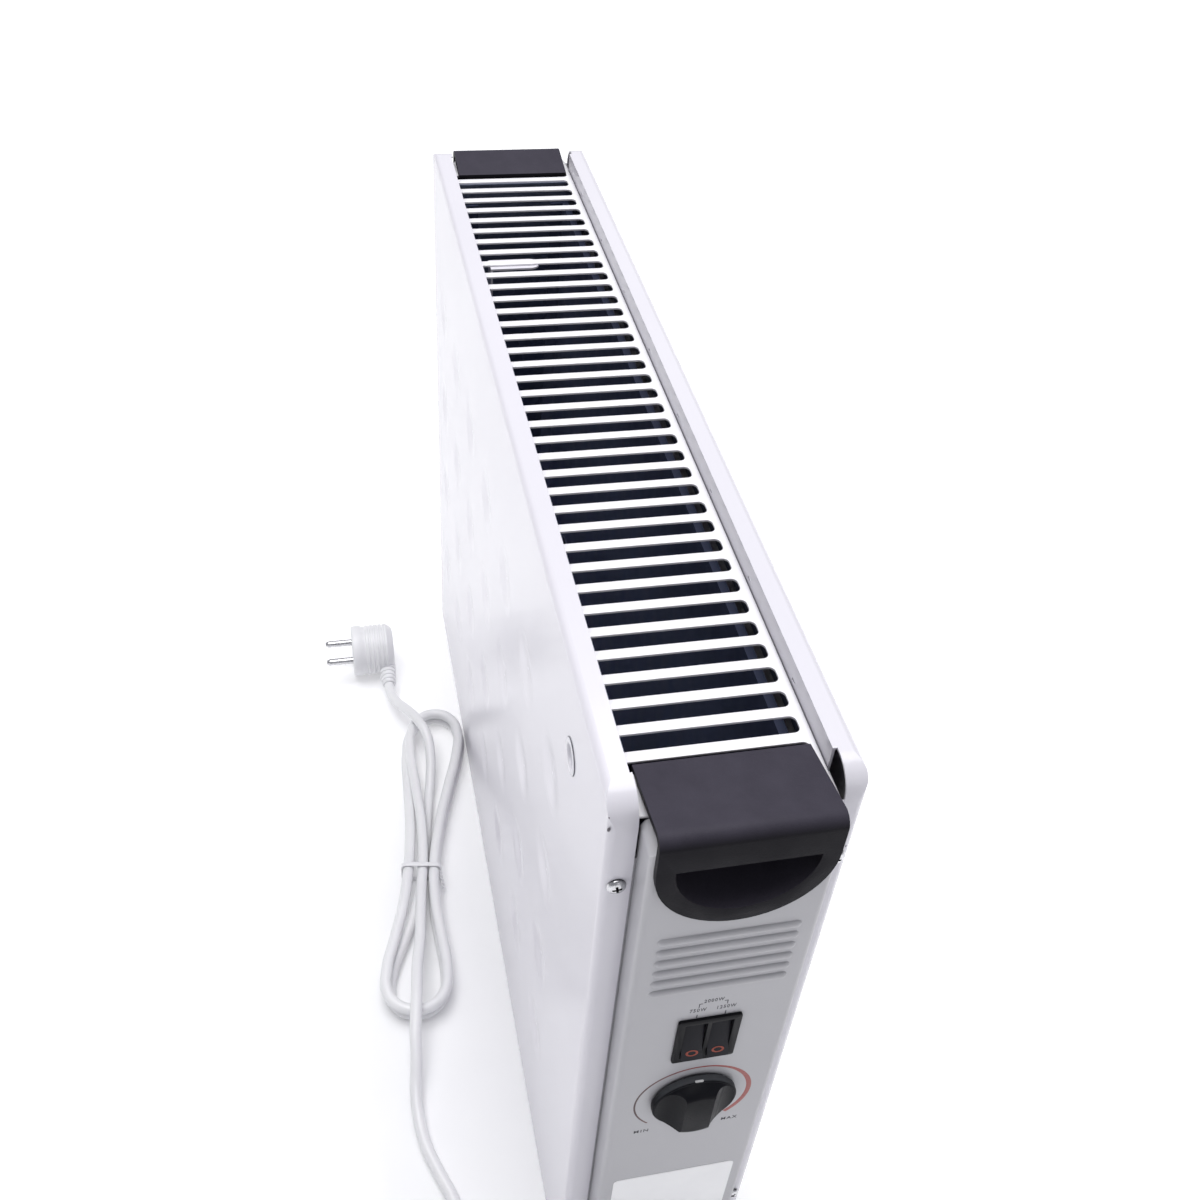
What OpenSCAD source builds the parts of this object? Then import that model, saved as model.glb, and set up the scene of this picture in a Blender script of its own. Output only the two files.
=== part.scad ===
// Portable convector heater: two pressed steel trays, raised end covers, a slotted
// top grille, moulded handles, an end control panel and a supply cord tied in a hank.
// Millimetres, +Z up. The floor is z = 0, the casing's middle is x = y = 0, and the
// controls are at the +X end. The face towards -Y is the front.

/* [Casing] */
// Length over the panels' end flanges
casing_length = 506; // [460:1:560]
// Depth over the two panel faces
casing_depth = 90.8; // [86:0.2:104]
// Height of the grille's top face above the floor
grille_height = 370; // [340:1:420]
// Rise of the panels' rim above the grille
rim_rise = 9; // [6:0.5:12]
// Width of the panels' top flange
rim_width = 9.7; // [8:0.1:10.2]
// Width of the panels' end and bottom flanges
flange_width = 10.6; // [10.4:0.1:12]
// Steel sheet thickness
sheet = 1; // [0.8:0.1:1.2]
// Corner radius of a panel, seen from the front
panel_corner_radius = 12; // [8:0.5:16]
// Radius of the folds round a panel face
fold_radius = 3; // [2.2:0.2:3.4]
// Length of rim without a lip at each end
lip_setback = 14; // [12:0.5:24]
// Step of the back panel's rim beyond its lip
rim_step = 1.7; // [0.5:0.1:2.2]
// Reach of the lips down beside the grille
lip_overlap = 6; // [3:0.5:8]
// Spacing of the slits in the lips
slit_pitch = 57; // [40:1:80]

/* [Pressed discs] */
// Diameter of a pressed disc
disc_diameter = 39; // [30:1:44]
// Depth of the pressing
disc_depth = 1.2; // [0.6:0.1:1.6]
// Spacing along the panel
disc_pitch_x = 61.5; // [56:0.5:64]
// Spacing up the panel
disc_pitch_z = 66.8; // [62:0.2:72]
// Drop from the grille to the top row's middle
disc_top_drop = 77.5; // [70:0.5:90]
// Distance of the first column from the panel's far end
disc_setback = 48; // [40:0.5:52]

/* [Grille] */
// Spacing of the slots
slot_pitch = 12.5; // [11:0.1:14]
// Width of a slot
slot_width = 7.9; // [6:0.1:8.5]
// Corner radius of the slots' back ends
slot_corner = 2.6; // [1:0.1:3]
// Solid margin beyond the rounded slot ends
slot_end_margin = 4; // [3:0.1:6]
// Depth of the grille's folded sides
grille_skirt = 10; // [8:0.5:12]
// Outside radius of the grille's folds
grille_fold = 1.4; // [1.2:0.1:2.2]
// Clearance between the grille and the rim lips
grille_clearance = 0.2; // [0.15:0.05:0.6]

/* [End covers] */
// Height of the control end cover above the panels' end flanges
cover_rise = 12.9; // [10:0.1:16]
// Height of the far end cover, which holds no controls, above the end flanges
far_cover_rise = 2.4; // [2:0.1:6]
// Gap between a cover and the flange edges beside it
cover_gap = 1.1; // [0.8:0.1:1.6]
// Edge radius of a cover
cover_edge_radius = 2.6; // [1.6:0.2:4]
// Drop from the grille to the cover's top edge
cover_top_drop = 1; // [0.5:0.5:3]
// Height of the cover's bottom edge above the floor
cover_foot_gap = 3; // [2.5:0.5:8]
// Number of pressed ribs
rib_count = 6; // [3:1:7]
// Spacing of the pressed ribs
rib_pitch = 6.7; // [6:0.1:7.4]
// Half length of a rib
rib_half_length = 27; // [20:0.5:28]
// Drop from the grille to the first rib
rib_drop = 53.2; // [50:0.2:56]
// Height of a rib above the cover face
rib_rise = 1.3; // [0.8:0.1:2]

/* [Handles] */
// Gap between a handle's sides and the panels' rims
handle_side_gap = 3.5; // [2.6:0.1:5]
// Height of the half-moon face below its straight sides
handle_bow = 31.2; // [29:0.2:34]
// Drop from the grille to the top of the half-moon
handle_bow_drop = 9.6; // [8:0.2:12]
// Thickness of the face flange
handle_face = 2.85; // [2:0.05:4]
// Height of the handle's top above the grille at its outer bend
handle_rise = 7.7; // [6:0.1:9]
// Height of the handle's top above the grille at its inner edge
handle_inner_rise = 1.5; // [1:0.1:3]
// Length of the control end's handle from its face to its inner edge
handle_length = 39; // [33:0.5:39]
// Thickness of the handle's deck, which stands clear of the grille beside the cup
deck_thickness = 2.4; // [2:0.1:3]
// Radius of the outer bend
handle_bend_radius = 5; // [3:0.5:6]
// Half width of the finger recess
recess_half_width = 25.4; // [22:0.2:26]
// Depth of the finger recess's bow
recess_bow = 24.7; // [20:0.2:25]
// Drop from the grille to the recess's straight edge
recess_drop = 8.7; // [7:0.1:10]
// Moulded wall
moulded_wall = 2.5; // [2:0.1:3]

/* [Controls] */
// Width of the switch bezel
bezel_width = 25.5; // [24:0.5:28]
// Height of the switch bezel
bezel_height = 30.5; // [29:0.5:34]
// Drop from the grille to the switch's middle
switch_drop = 124.5; // [120:0.5:130]
// Width of a rocker
rocker_width = 8.6; // [7.6:0.1:9]
// Tilt of a rocker to each side of level; its lower end stands out at rest
rocker_tilt = 9; // [6:0.5:11]
// Drop from a rocker's pivot to the crease in its face
rocker_crease = 5.5; // [3:0.5:7]
// Slope of a rocker's toe below the crease
rocker_toe = 16; // [12:1:18]
// Radius of a rocker round its pivot
rocker_radius = 11.8; // [11:0.1:12.2]
// Diameter of a rocker's pivot stubs
rocker_pin = 2.4; // [2:0.1:3]
// Diameter of the thermostat knob
knob_diameter = 36; // [32:0.5:40]
// Height of the knob above its seat
knob_height = 8.6; // [7:0.2:14]
// Thickness of the knob's skirt
knob_skirt = 3; // [2:0.2:4]
// Narrowest width of the knob's grip
knob_grip = 12; // [8:0.2:14]
// Drop from the grille to the knob's axis
knob_drop = 171.2; // [168:0.2:184]
// Diameter of the thermostat spindle
spindle = 6; // [5:0.1:7]

/* [Heating] */
// Diameter of the heating tubes
tube_diameter = 8; // [6.5:0.5:9]
// Spacing between a tube's two legs
leg_spacing = 24; // [22:0.5:28]
// Height of the lower element above the floor
element_height = 92; // [80:1:110]
// Height of the upper element above the lower
element_spacing = 38; // [32:1:46]
// Spacing of the fins
fin_pitch = 12; // [9:0.5:16]
// Thickness of a fin
fin_thickness = 0.6; // [0.5:0.1:1]
// Length of the wiring space between an inner end plate and the panel's end
wiring_space = 31; // [30:0.5:38]
// Room between the tubes' bends and the far inner end plate
bend_room = 42; // [36:1:60]
// Room between the tubes' bends and their hanger
hanger_room = 20; // [16:1:30]
// Place of the upper element's first fin along the casing
upper_fin_start = 10; // [-60:1:40]
// Distance of the lower element's first fin from the hanger
lower_fin_start = 18; // [14:1:40]
// Half spacing of the two heat shields, outside
shield_half = 30; // [28:0.2:32]

/* [Cord] */
// Cord diameter
cord_diameter = 6.8; // [6.4:0.1:7]
// Loops in the tied hank
hank_loops = 2; // [2:2:2]
// Spread of one loop to the next
hank_step = 9; // [9:0.1:10]
// Swell of the hank beyond its waist
hank_swell = 33; // [31:0.5:36]
// Length of the hank's near lobe
near_lobe = 103; // [98:1:108]
// Length of the hank's far lobe
far_lobe = 139; // [134:1:144]
// Diameter of the plug's body
plug_diameter = 37; // [35:0.5:38]
// Length of the plug's body
plug_length = 30; // [27:0.5:32]

/* [Hidden] */
half_length = casing_length / 2;
half_depth = casing_depth / 2;
rim_top = grille_height + rim_rise;
rim_inner = half_depth - rim_width;
flange_inner = half_depth - flange_width;
cover_half = flange_inner - cover_gap;
cover_face = half_length + cover_rise;
far_face = half_length + far_cover_rise;
cover_top = grille_height - cover_top_drop;
handle_plane = cover_face + handle_face;
handle_half_width = rim_inner - handle_side_gap;
screw_y = half_depth - 5.4;
screw_heights = [59.5, grille_height - 33.6];
screw_hole = 3.8;
screw_shank = 3.5;
screw_head = 7;
disc_columns = 1 + floor((casing_length - disc_setback - 60) / disc_pitch_x);
disc_rows = 1 + floor((grille_height - disc_top_drop - 60) / disc_pitch_z);
pan_half = flange_inner - 1;
pan_end = half_length - panel_corner_radius;
inner_half = half_depth - fold_radius - 0.1;
lip_end = half_length - lip_setback;
tab_centre = half_length - panel_corner_radius;
tab_radius = panel_corner_radius - sheet - 0.6;
tab_end = tab_centre + tab_radius;
grille_half = rim_inner - grille_clearance;
grille_end = half_length - 2.3;
slot_back = grille_half - slot_end_margin;
slot_front = -grille_half + 1.2;
handle_inner = handle_plane - handle_length;
deck_slope = (handle_rise - handle_inner_rise)
    / (handle_plane - handle_bend_radius - handle_inner);
handle_opening = handle_half_width + 0.5;
cup_opening = recess_half_width + moulded_wall + 0.5;
bar_width = slot_pitch - slot_width;
half_slots = floor((handle_inner - 2 - bar_width / 2) / slot_pitch);
last_bar = half_slots * slot_pitch + bar_width / 2;
filler_hole = 14;
filler_x = half_length - 56;
filler_z = grille_height - 29.3;
bezel_proud = 1.2;
switch_z = grille_height - switch_drop;
switch_body_width = bezel_width - 3.5;
switch_body_height = bezel_height - 3;
switch_depth = 20;
rocker_offset = rocker_width / 2 + 1;
rocker_surface = 3.2;
pivot_x = cover_face + bezel_proud - rocker_surface + 0.6;
knob_z = grille_height - knob_drop;
knob_seat = cover_face + 0.7;
knob_bore = knob_height - 2.2;
spindle_root = cover_face - sheet - 13.5;
bushing = spindle + 3;
cable_y = -15;
cable_z = 24;
gland_reach = 30;
partition_half = half_depth - sheet - 0.5;
partition_head_half = grille_half - sheet - 0.4;
shield_top = grille_height - grille_skirt - 4;
shield_foot = 30;
wire_hole = 14;
terminal_length = 15;
terminal_width = 34;
terminal_height = 14;
elements = [element_height, element_height + element_spacing];
partition_place = half_length - wiring_space;
element_bend_x = -partition_place + bend_room;
element_tip_x = partition_place + 14;
brace_x = -10 * slot_pitch;
hanger_x = element_bend_x + hanger_room;
plug_x = -198;
plug_y = -103;
plug_z = plug_diameter / 2;
pin_spacing = 19;
pin_diameter = 4.8;
pin_length = 19;
boot_tip_x = plug_x + 32;
boot_y = plug_y + 9;
boot_z = 12;

// Cord data: the hank's waist lies on the floor beside the front panel.
hank_centre = [0, -86];
hank_turn = -9.4;
hank_lift = 1.3;
hank_gap = 0.6;
hank_layer = cord_diameter + hank_gap;
hank_low = cord_diameter / 2 + hank_lift;
hank_waist = (cord_diameter + 0.5 + 1.5 * hank_step * hank_loops / 2) / 2;
rings_per_loop = 24;

// Waypoints of the supply lead, from its gland to the hank
LEAD_POINTS = [
    [311, -15, 24], [322, -17, 21], [332, -23, 16], [339, -33, 11], [341, -46, 7],
    [337, -60, 5], [328, -72, 4], [314, -81, 4], [298, -87, 4], [280, -89, 4],
    [262, -89, 4], [244, -89, 4], [226, -90, 4], [208, -94, 4], [192, -100, 4],
    [176, -105, 4], [160, -107, 5], [146, -107, 8], [132, -105, 14], [118, -104, 19],
    [104, -102, 21], [88, -100, 21], [72, -98, 19], [56, -95, 16], [40, -93, 14],
    [24, -91, 13]];
// Waypoints of the tail, from the hank to the plug
TAIL_POINTS = [
    [-24, -83, 5], [-42, -80, 5], [-60, -77, 5], [-76, -74, 8], [-92, -72, 14],
    [-107, -73, 20], [-121, -78, 21], [-134, -84, 18], [-146, -90, 14]];

$fn = 48;

// Shared shapes

module plate_yz(x0, thickness) {
    translate([x0, 0, 0]) rotate([90, 0, 90]) linear_extrude(height = thickness) children();
}

module plate_xz(y0, thickness) {
    translate([0, y0 + thickness, 0]) rotate([90, 0, 0]) linear_extrude(height = thickness)
        children();
}

module rounded_rectangle(size, radius) {
    union() {
        square([size[0] - 2 * radius, size[1]], center = true);
        square([size[0], size[1] - 2 * radius], center = true);
        for (sx = [-1, 1], sy = [-1, 1])
            translate([sx * (size[0] / 2 - radius), sy * (size[1] / 2 - radius)])
                circle(r = radius);
    }
}

function half_ellipse(a, b, top, steps = 28) = concat(
    [[a, top]], [for (i = [0:steps]) [a * cos(180 * i / steps), -b * sin(180 * i / steps)]],
    [[-a, top]]);

// One unbroken tube through a list of points, faces as triangles
function unit(v) = v / norm(v);
function tube_tangent(points, i) = unit(points[min(i + 1, len(points) - 1)]
    - points[max(i - 1, 0)]);
function tube_ring(point, tangent, radius, sides) =
    let(side = unit(cross([0, 0, 1], tangent)), up = cross(tangent, side))
    [for (k = [0:sides - 1]) point + radius * (cos(360 * k / sides) * side
        + sin(360 * k / sides) * up)];

module tube(points, diameter, sides) {
    count = len(points);
    rings = [for (i = [0:count - 1])
        each tube_ring(points[i], tube_tangent(points, i), diameter / 2, sides)];
    walls = [for (i = [0:count - 2], k = [0:sides - 1])
        let(a = i * sides + k, b = i * sides + (k + 1) % sides)
        each [[a, a + sides, b], [b, a + sides, b + sides]]];
    last = (count - 1) * sides;
    caps = [for (k = [1:sides - 2]) each [[0, k, k + 1], [last, last + k + 1, last + k]]];
    polyhedron(points = rings, faces = concat(walls, caps), convexity = 8);
}

// Casing

module tray_solid(inset, depth) {
    // Rounded outline, folds along the long edges and folds along the ends
    intersection() {
        plate_xz(-half_depth + inset, depth)
            translate([0, rim_top / 2])
                rounded_rectangle([2 * (half_length - inset), rim_top - 2 * inset],
                    panel_corner_radius - inset);
        translate([-half_length, 0, 0]) rotate([90, 0, 90])
            linear_extrude(height = 2 * half_length)
                folded_edge(rim_top / 2, rim_top / 2, inset, depth);
        linear_extrude(height = rim_top) rotate(90)
            folded_edge(0, half_length, inset, depth);
    }
}

module folded_edge(middle, half, inset, depth) {
    // Section across the face: x is the depth and y runs to the folds at both edges
    radius = fold_radius - inset;
    x0 = -half_depth + inset;
    translate([0, middle]) union() {
        translate([x0 + radius, -half + inset]) square([depth - radius, 2 * (half - inset)]);
        translate([x0, -half + inset + radius])
            square([depth, 2 * (half - inset - radius)]);
        for (s = [-1, 1])
            translate([x0 + radius, s * (half - inset - radius)]) circle(r = radius);
    }
}

module disc_grid() {
    for (column = [0:disc_columns - 1], row = [0:disc_rows - 1])
        translate([-half_length + disc_setback + column * disc_pitch_x, 0,
            grille_height - disc_top_drop - row * disc_pitch_z])
            children();
}

module dish(skin) {
    // Soft dish pressed into the face, its skin set inwards
    steps = 5;
    radius = disc_diameter / 2;
    translate([0, -half_depth + skin, 0]) rotate([-90, 0, 0]) rotate_extrude()
        polygon(concat([[0, skin > 0 ? -sheet / 2 : -1]],
            [[radius, skin > 0 ? -sheet / 2 : -1]],
            [for (i = [steps:-1:0])
                [radius * i / steps, disc_depth * (1 + cos(180 * i / steps)) / 2]]));
}

module screw_places(diameter) {
    for (z = screw_heights) translate([screw_y, z]) circle(d = diameter);
}

module panel() {
    difference() {
        union() {
            difference() {
                tray_solid(0, flange_width);
                tray_solid(sheet, flange_width + 1);
            }
            disc_grid() dish(sheet);
            // Lip turned down from the rim
            translate([-lip_end, -rim_inner - sheet, grille_height - lip_overlap])
                cube([2 * lip_end, sheet, rim_rise + lip_overlap]);
            // The lip runs on past the rim's fold as a free tab with a round corner
            for (end = [0, 1]) mirror([end, 0, 0]) intersection() {
                translate([lip_end - 1, -rim_inner - sheet, grille_height - lip_overlap])
                    cube([tab_end - lip_end + 1, sheet, rim_rise + lip_overlap]);
                hull() for (x = [0, tab_centre], z = [0, 40])
                    translate([x, -rim_inner - sheet - 1, rim_top - panel_corner_radius - z])
                        rotate([-90, 0, 0]) cylinder(r = tab_radius, h = sheet + 2);
            }
        }
        // Slits in the lip, just above the grille
        for (k = [0.5 : lip_end / slit_pitch], s = [-1, 1])
            translate([s * k * slit_pitch - 1.5, -rim_inner - 2, grille_height + 1])
                cube([3, 4, 1.2]);
        disc_grid() dish(0);
        // Rim narrowed where it carries the lip
        translate([-lip_end, -rim_inner, rim_top - 2 * sheet])
            cube([2 * lip_end, flange_width, 3 * sheet]);
        for (side = [-1, 1])
            plate_yz(side * half_length - 2, 4) mirror([1, 0]) screw_places(screw_hole);
    }
}

module front_panel() {
    color("ghostwhite") difference() {
        panel();
        translate([filler_x, -half_depth + 2, filler_z]) rotate([90, 0, 0])
            cylinder(d = filler_hole, h = 4);
    }
}

module back_panel() {
    color("ghostwhite") mirror([0, 1, 0]) difference() {
        panel();
        // Rim stepped back beyond the lip
        for (end = [0, 1]) mirror([end, 0, 0])
            translate([lip_end, -rim_inner - rim_step, rim_top - panel_corner_radius])
                cube([lip_setback + 1, flange_width, panel_corner_radius + 1]);
    }
}

module hole_plug() {
    r = filler_hole / 2 - 0.1;
    color("white") translate([filler_x, -half_depth, filler_z]) rotate([90, 0, 0])
        rotate_extrude() polygon([[0, -2.4], [r - 0.3, -2.4], [r, -1.8], [r, 0],
            [r + 1.8, 0], [r + 1.8, 0.5], [r + 0.9, 1.1], [r - 1.3, 1.1], [r - 2.3, 0.3],
            [0, 0.3]]);
}

module grille_section() {
    // Plate with rounded folds and turned-down sides
    difference() {
        grille_outline(0);
        grille_outline(sheet);
    }
}

module grille_outline(inset) {
    radius = grille_fold - inset;
    half = grille_half - inset;
    translate([0, grille_height - inset - radius]) union() {
        translate([-half + radius, 0]) square([2 * (half - radius), radius]);
        translate([-half, -grille_skirt]) square([2 * half, grille_skirt]);
        for (s = [-1, 1]) translate([s * (half - radius), 0]) circle(r = radius);
    }
}

module grille_slot(width, back) {
    // Square under the front rim, with rounded corners at the back
    half = width / 2;
    union() {
        translate([-half, slot_front]) square([width, back - slot_corner - slot_front]);
        translate([-half + slot_corner, slot_front])
            square([width - 2 * slot_corner, back - slot_front]);
        for (s = [-1, 1]) translate([s * (half - slot_corner), back - slot_corner])
            circle(r = slot_corner);
    }
}

module top_grille() {
    color("white") difference() {
        translate([-grille_end, 0, 0]) rotate([90, 0, 90])
            linear_extrude(height = 2 * grille_end) grille_section();
        translate([0, 0, grille_height - 2 * sheet]) linear_extrude(height = 3 * sheet)
            for (i = [-half_slots:half_slots - 1])
                translate([(i + 0.5) * slot_pitch, 0]) grille_slot(slot_width, slot_back);
        // Room for the handles beyond the last bar, narrower beside the cups
        for (end = [0, 1]) mirror([end, 0, 0]) {
            translate([(last_bar + handle_inner + moulded_wall + 0.4) / 2, 0,
                grille_height - 2 * sheet]) linear_extrude(height = 3 * sheet)
                grille_slot(handle_inner + moulded_wall + 0.4 - last_bar, handle_opening);
            translate([last_bar, -cup_opening, grille_height - 2 * sheet])
                cube([grille_end + 1 - last_bar, 2 * cup_opening, 3 * sheet]);
        }
    }
}

module base_pan() {
    slot_spacing = 13;
    slots = floor((casing_length - 90) / slot_spacing);
    color("white") difference() {
        translate([-pan_end, 0, 0]) rotate([90, 0, 90])
            linear_extrude(height = 2 * pan_end)
                polygon([[-inner_half, sheet], [-pan_half, sheet], [-pan_half, 0],
                    [pan_half, 0], [pan_half, sheet], [inner_half, sheet],
                    [inner_half, 2 * sheet], [pan_half - sheet, 2 * sheet],
                    [pan_half - sheet, sheet], [-pan_half + sheet, sheet],
                    [-pan_half + sheet, 2 * sheet], [-inner_half, 2 * sheet]]);
        // Two rows of intake slots either side of a solid middle web
        for (i = [0:slots - 1], s = [-1, 1])
            translate([(i - (slots - 1) / 2) * slot_spacing - 3.5, s > 0 ? 6 : -30, -1])
                cube([7, 24, 4]);
    }
}

module cover_shell(face) {
    height = cover_top - cover_foot_gap;
    middle = (cover_top + cover_foot_gap) / 2;
    module block(inset, x0) {
        radius = cover_edge_radius - inset;
        intersection() {
            plate_yz(x0, face - inset - x0) translate([0, middle])
                rounded_rectangle([2 * (cover_half - inset), height - 2 * inset],
                    4 - inset);
            linear_extrude(height = grille_height) union() {
                translate([x0, -cover_half + inset])
                    square([face - inset - radius - x0, 2 * (cover_half - inset)]);
                translate([x0, -cover_half + inset + radius])
                    square([face - inset - x0, 2 * (cover_half - inset - radius)]);
                for (s = [-1, 1])
                    translate([face - inset - radius,
                        s * (cover_half - inset - radius)]) circle(r = radius);
            }
        }
    }
    difference() {
        block(0, half_length - 2 * sheet);
        block(sheet, half_length - 2 * sheet - 1);
    }
}

module end_cover(face) {
    difference() {
        union() {
            cover_shell(face);
            // Side flanges that lie behind the panels' end flanges
            for (s = [-1, 1])
                translate([half_length - 2 * sheet, s > 0 ? cover_half - sheet : -inner_half,
                    panel_corner_radius + 1])
                    cube([sheet, inner_half - cover_half + sheet,
                        cover_top - panel_corner_radius - 21]);
            ribs(face, rib_rise);
        }
        ribs(face, rib_rise - sheet);
        // Seat of the handle's cup
        plate_yz(half_length - 6, cover_rise + 12)
            translate([0, grille_height - recess_drop])
                polygon(half_ellipse(recess_half_width + moulded_wall + 0.4,
                    recess_bow + moulded_wall + 0.4, recess_drop + 2));
        for (s = [-1, 1])
            plate_yz(half_length - 4, 4) scale([s, 1]) screw_places(screw_shank + 0.1);
    }
}

module ribs(face, rise) {
    radius = 2.4;
    for (i = [0:rib_count - 1])
        translate([face + rise - radius, 0,
            grille_height - rib_drop - i * rib_pitch]) {
            rotate([90, 0, 0])
                cylinder(r = radius, h = 2 * (rib_half_length - radius), center = true);
            for (s = [-1, 1]) translate([0, s * (rib_half_length - radius), 0])
                sphere(r = radius);
        }
}

module control_end_cover() {
    color("gainsboro") difference() {
        end_cover(cover_face);
        translate([half_length, -switch_body_width / 2 - 0.3,
            switch_z - switch_body_height / 2 - 0.3])
            cube([cover_rise + 5, switch_body_width + 0.6, switch_body_height + 0.6]);
        translate([half_length, 0, knob_z]) rotate([0, 90, 0])
            cylinder(d = bushing + 0.3, h = cover_rise + 5);
        translate([half_length, cable_y, cable_z]) rotate([0, 90, 0])
            cylinder(d = 12.4, h = cover_rise + 5);
    }
}

module far_end_cover() {
    color("gainsboro") mirror([1, 0, 0]) end_cover(far_face);
}

// Handles: a half-moon face, a thin sloping deck and a cup for the fingers

module handle_profile(plane, inset) {
    // Side view of the top, x along the casing and y up from the grille
    r = handle_bend_radius;
    slope = atan(deck_slope);
    rise = handle_inner_rise + deck_slope * (plane - r - handle_inner);
    polygon(concat(
        [[handle_inner + inset, -60], [handle_inner + inset, handle_inner_rise - inset]],
        [for (i = [0:8]) let(a = (90 + slope) * (1 - i / 8))
            [plane - r + (r - inset) * cos(a), rise - r + (r - inset) * sin(a)]],
        [[plane - inset, -60]]));
}

module handle(face) {
    plane = face + handle_face;
    bow_top = grille_height - handle_bow_drop;
    cup_top = grille_height - recess_drop;
    deck_floor = grille_height + 0.15;
    difference() {
        intersection() {
            union() {
                // Face flange
                plate_yz(face, handle_face) translate([0, bow_top])
                    polygon(half_ellipse(handle_half_width, handle_bow,
                        handle_bow_drop + handle_rise + 1));
                // Deck over the cover and the end of the grille
                difference() {
                    translate([handle_inner, -handle_half_width, deck_floor])
                        cube([plane - handle_inner, 2 * handle_half_width,
                            handle_rise + 2]);
                    plate_xz(-handle_half_width - 1, 2 * handle_half_width + 2)
                        translate([0, grille_height])
                            handle_profile(plane, deck_thickness);
                }
                // Inner edge wall, seen through the open end slot
                translate([handle_inner, -handle_half_width, grille_height - 12])
                    cube([moulded_wall, 2 * handle_half_width, 13]);
                // Cup
                plate_yz(handle_inner, face - handle_inner + 0.5)
                    translate([0, cup_top])
                        polygon(half_ellipse(recess_half_width + moulded_wall,
                            recess_bow + moulded_wall, recess_drop + handle_rise + 1));
            }
            plate_xz(-handle_half_width - 1, 2 * handle_half_width + 2)
                translate([0, grille_height]) handle_profile(plane, 0);
        }
        // Finger recess with its straight upper edge
        plate_yz(handle_inner + moulded_wall, plane)
            translate([0, cup_top])
                polygon(half_ellipse(recess_half_width, recess_bow, 0));
        // Hollow behind the grip bar
        translate([handle_inner + moulded_wall, -recess_half_width, cup_top - 1])
            cube([plane - 8 - handle_inner - moulded_wall, 2 * recess_half_width,
                recess_drop + handle_inner_rise + 1 - moulded_wall]);
    }
}

module control_end_handle() {
    color([0.17, 0.17, 0.19]) handle(cover_face);
}

module far_end_handle() {
    color([0.17, 0.17, 0.19]) mirror([1, 0, 0]) handle(far_face);
}

module screw() {
    // Pan head on the flange, its axis along +X
    rotate([0, 90, 0]) union() {
        translate([0, 0, -8]) cylinder(d = screw_shank, h = 8.2);
        intersection() {
            cylinder(d = screw_head, h = 2.2);
            translate([0, 0, -3.2]) sphere(r = 5.4);
        }
    }
}

module end_screws() {
    color("silver") for (end = [0, 1], s = [-1, 1], z = screw_heights)
        mirror([end, 0, 0]) translate([half_length, s * screw_y, z]) screw();
}

// Inside of the casing

module partition_plate() {
    head = grille_height - grille_skirt - 3;
    difference() {
        union() {
            plate_yz(partition_place, sheet) polygon([[-partition_half, 2 * sheet],
                [partition_half, 2 * sheet], [partition_half, head],
                [partition_head_half, head], [partition_head_half, grille_height - sheet],
                [-partition_head_half, grille_height - sheet], [-partition_head_half, head],
                [-partition_half, head]]);
            // Foot and head flanges
            translate([partition_place - 10, -inner_half, 2 * sheet])
                cube([10.5, 2 * inner_half, sheet]);
            translate([partition_place, -partition_head_half, grille_height - 2 * sheet])
                cube([5, 2 * partition_head_half, sheet]);
        }
        children();
    }
}

module element_holes(x0, depth, diameter) {
    for (z = elements, s = [-1, 1])
        translate([x0, s * leg_spacing / 2, z]) rotate([0, 90, 0])
            cylinder(d = diameter, h = depth);
}

module control_partition() {
    color("silver") partition_plate() {
        element_holes(partition_place - 1, 4, tube_diameter + 6.2);
        translate([partition_place - 1, leg_spacing / 2, shield_foot]) rotate([0, 90, 0])
            cylinder(d = wire_hole, h = 4);
    }
}

module far_partition() {
    color("silver") mirror([1, 0, 0]) partition_plate()
        translate([partition_place - 1, 0, shield_foot]) rotate([0, 90, 0])
            cylinder(d = wire_hole, h = 4);
}

module heat_shield() {
    height = shield_top - shield_foot;
    union() {
        translate([-partition_place, -shield_half, shield_foot])
            cube([2 * partition_place, 0.8, height]);
        for (s = [-1, 1])
            translate([s > 0 ? partition_place - 0.8 : -partition_place, -shield_half,
                shield_foot]) cube([0.8, 8, height]);
        // Stiffening flanges along both long edges
        for (z = [shield_foot, shield_top - 0.8])
            translate([-partition_place, -shield_half - 3, z])
                cube([2 * partition_place, 3.5, 0.8]);
    }
}

module front_heat_shield() {
    color("lightsteelblue") heat_shield();
}

module back_heat_shield() {
    color("lightsteelblue") mirror([0, 1, 0]) heat_shield();
}

module grille_brace() {
    // Strip under the grille from the front heat shield to the middle
    inner = shield_half - 0.8;
    drop = grille_height - sheet;
    reach = inner - 2.5;
    color("whitesmoke") union() {
        translate([brace_x - 5, -inner, drop - 1]) cube([10, reach - 4, 1]);
        translate([brace_x, -inner + reach - 5, drop - 1]) cylinder(r = 5, h = 1);
        translate([brace_x - 5, -inner, drop - 30]) cube([10, 1, 30]);
    }
}

module element_hanger() {
    inner = shield_half - 0.8;
    color("silver") difference() {
        union() {
            translate([hanger_x, -inner, element_height - 16])
                cube([1, 2 * inner, element_spacing + 32]);
            for (s = [-1, 1])
                translate([hanger_x, s > 0 ? inner - 1 : -inner, element_height - 16])
                    cube([9, 1, element_spacing + 32]);
        }
        element_holes(hanger_x - 1, 3, tube_diameter + 0.4);
    }
}

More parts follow.
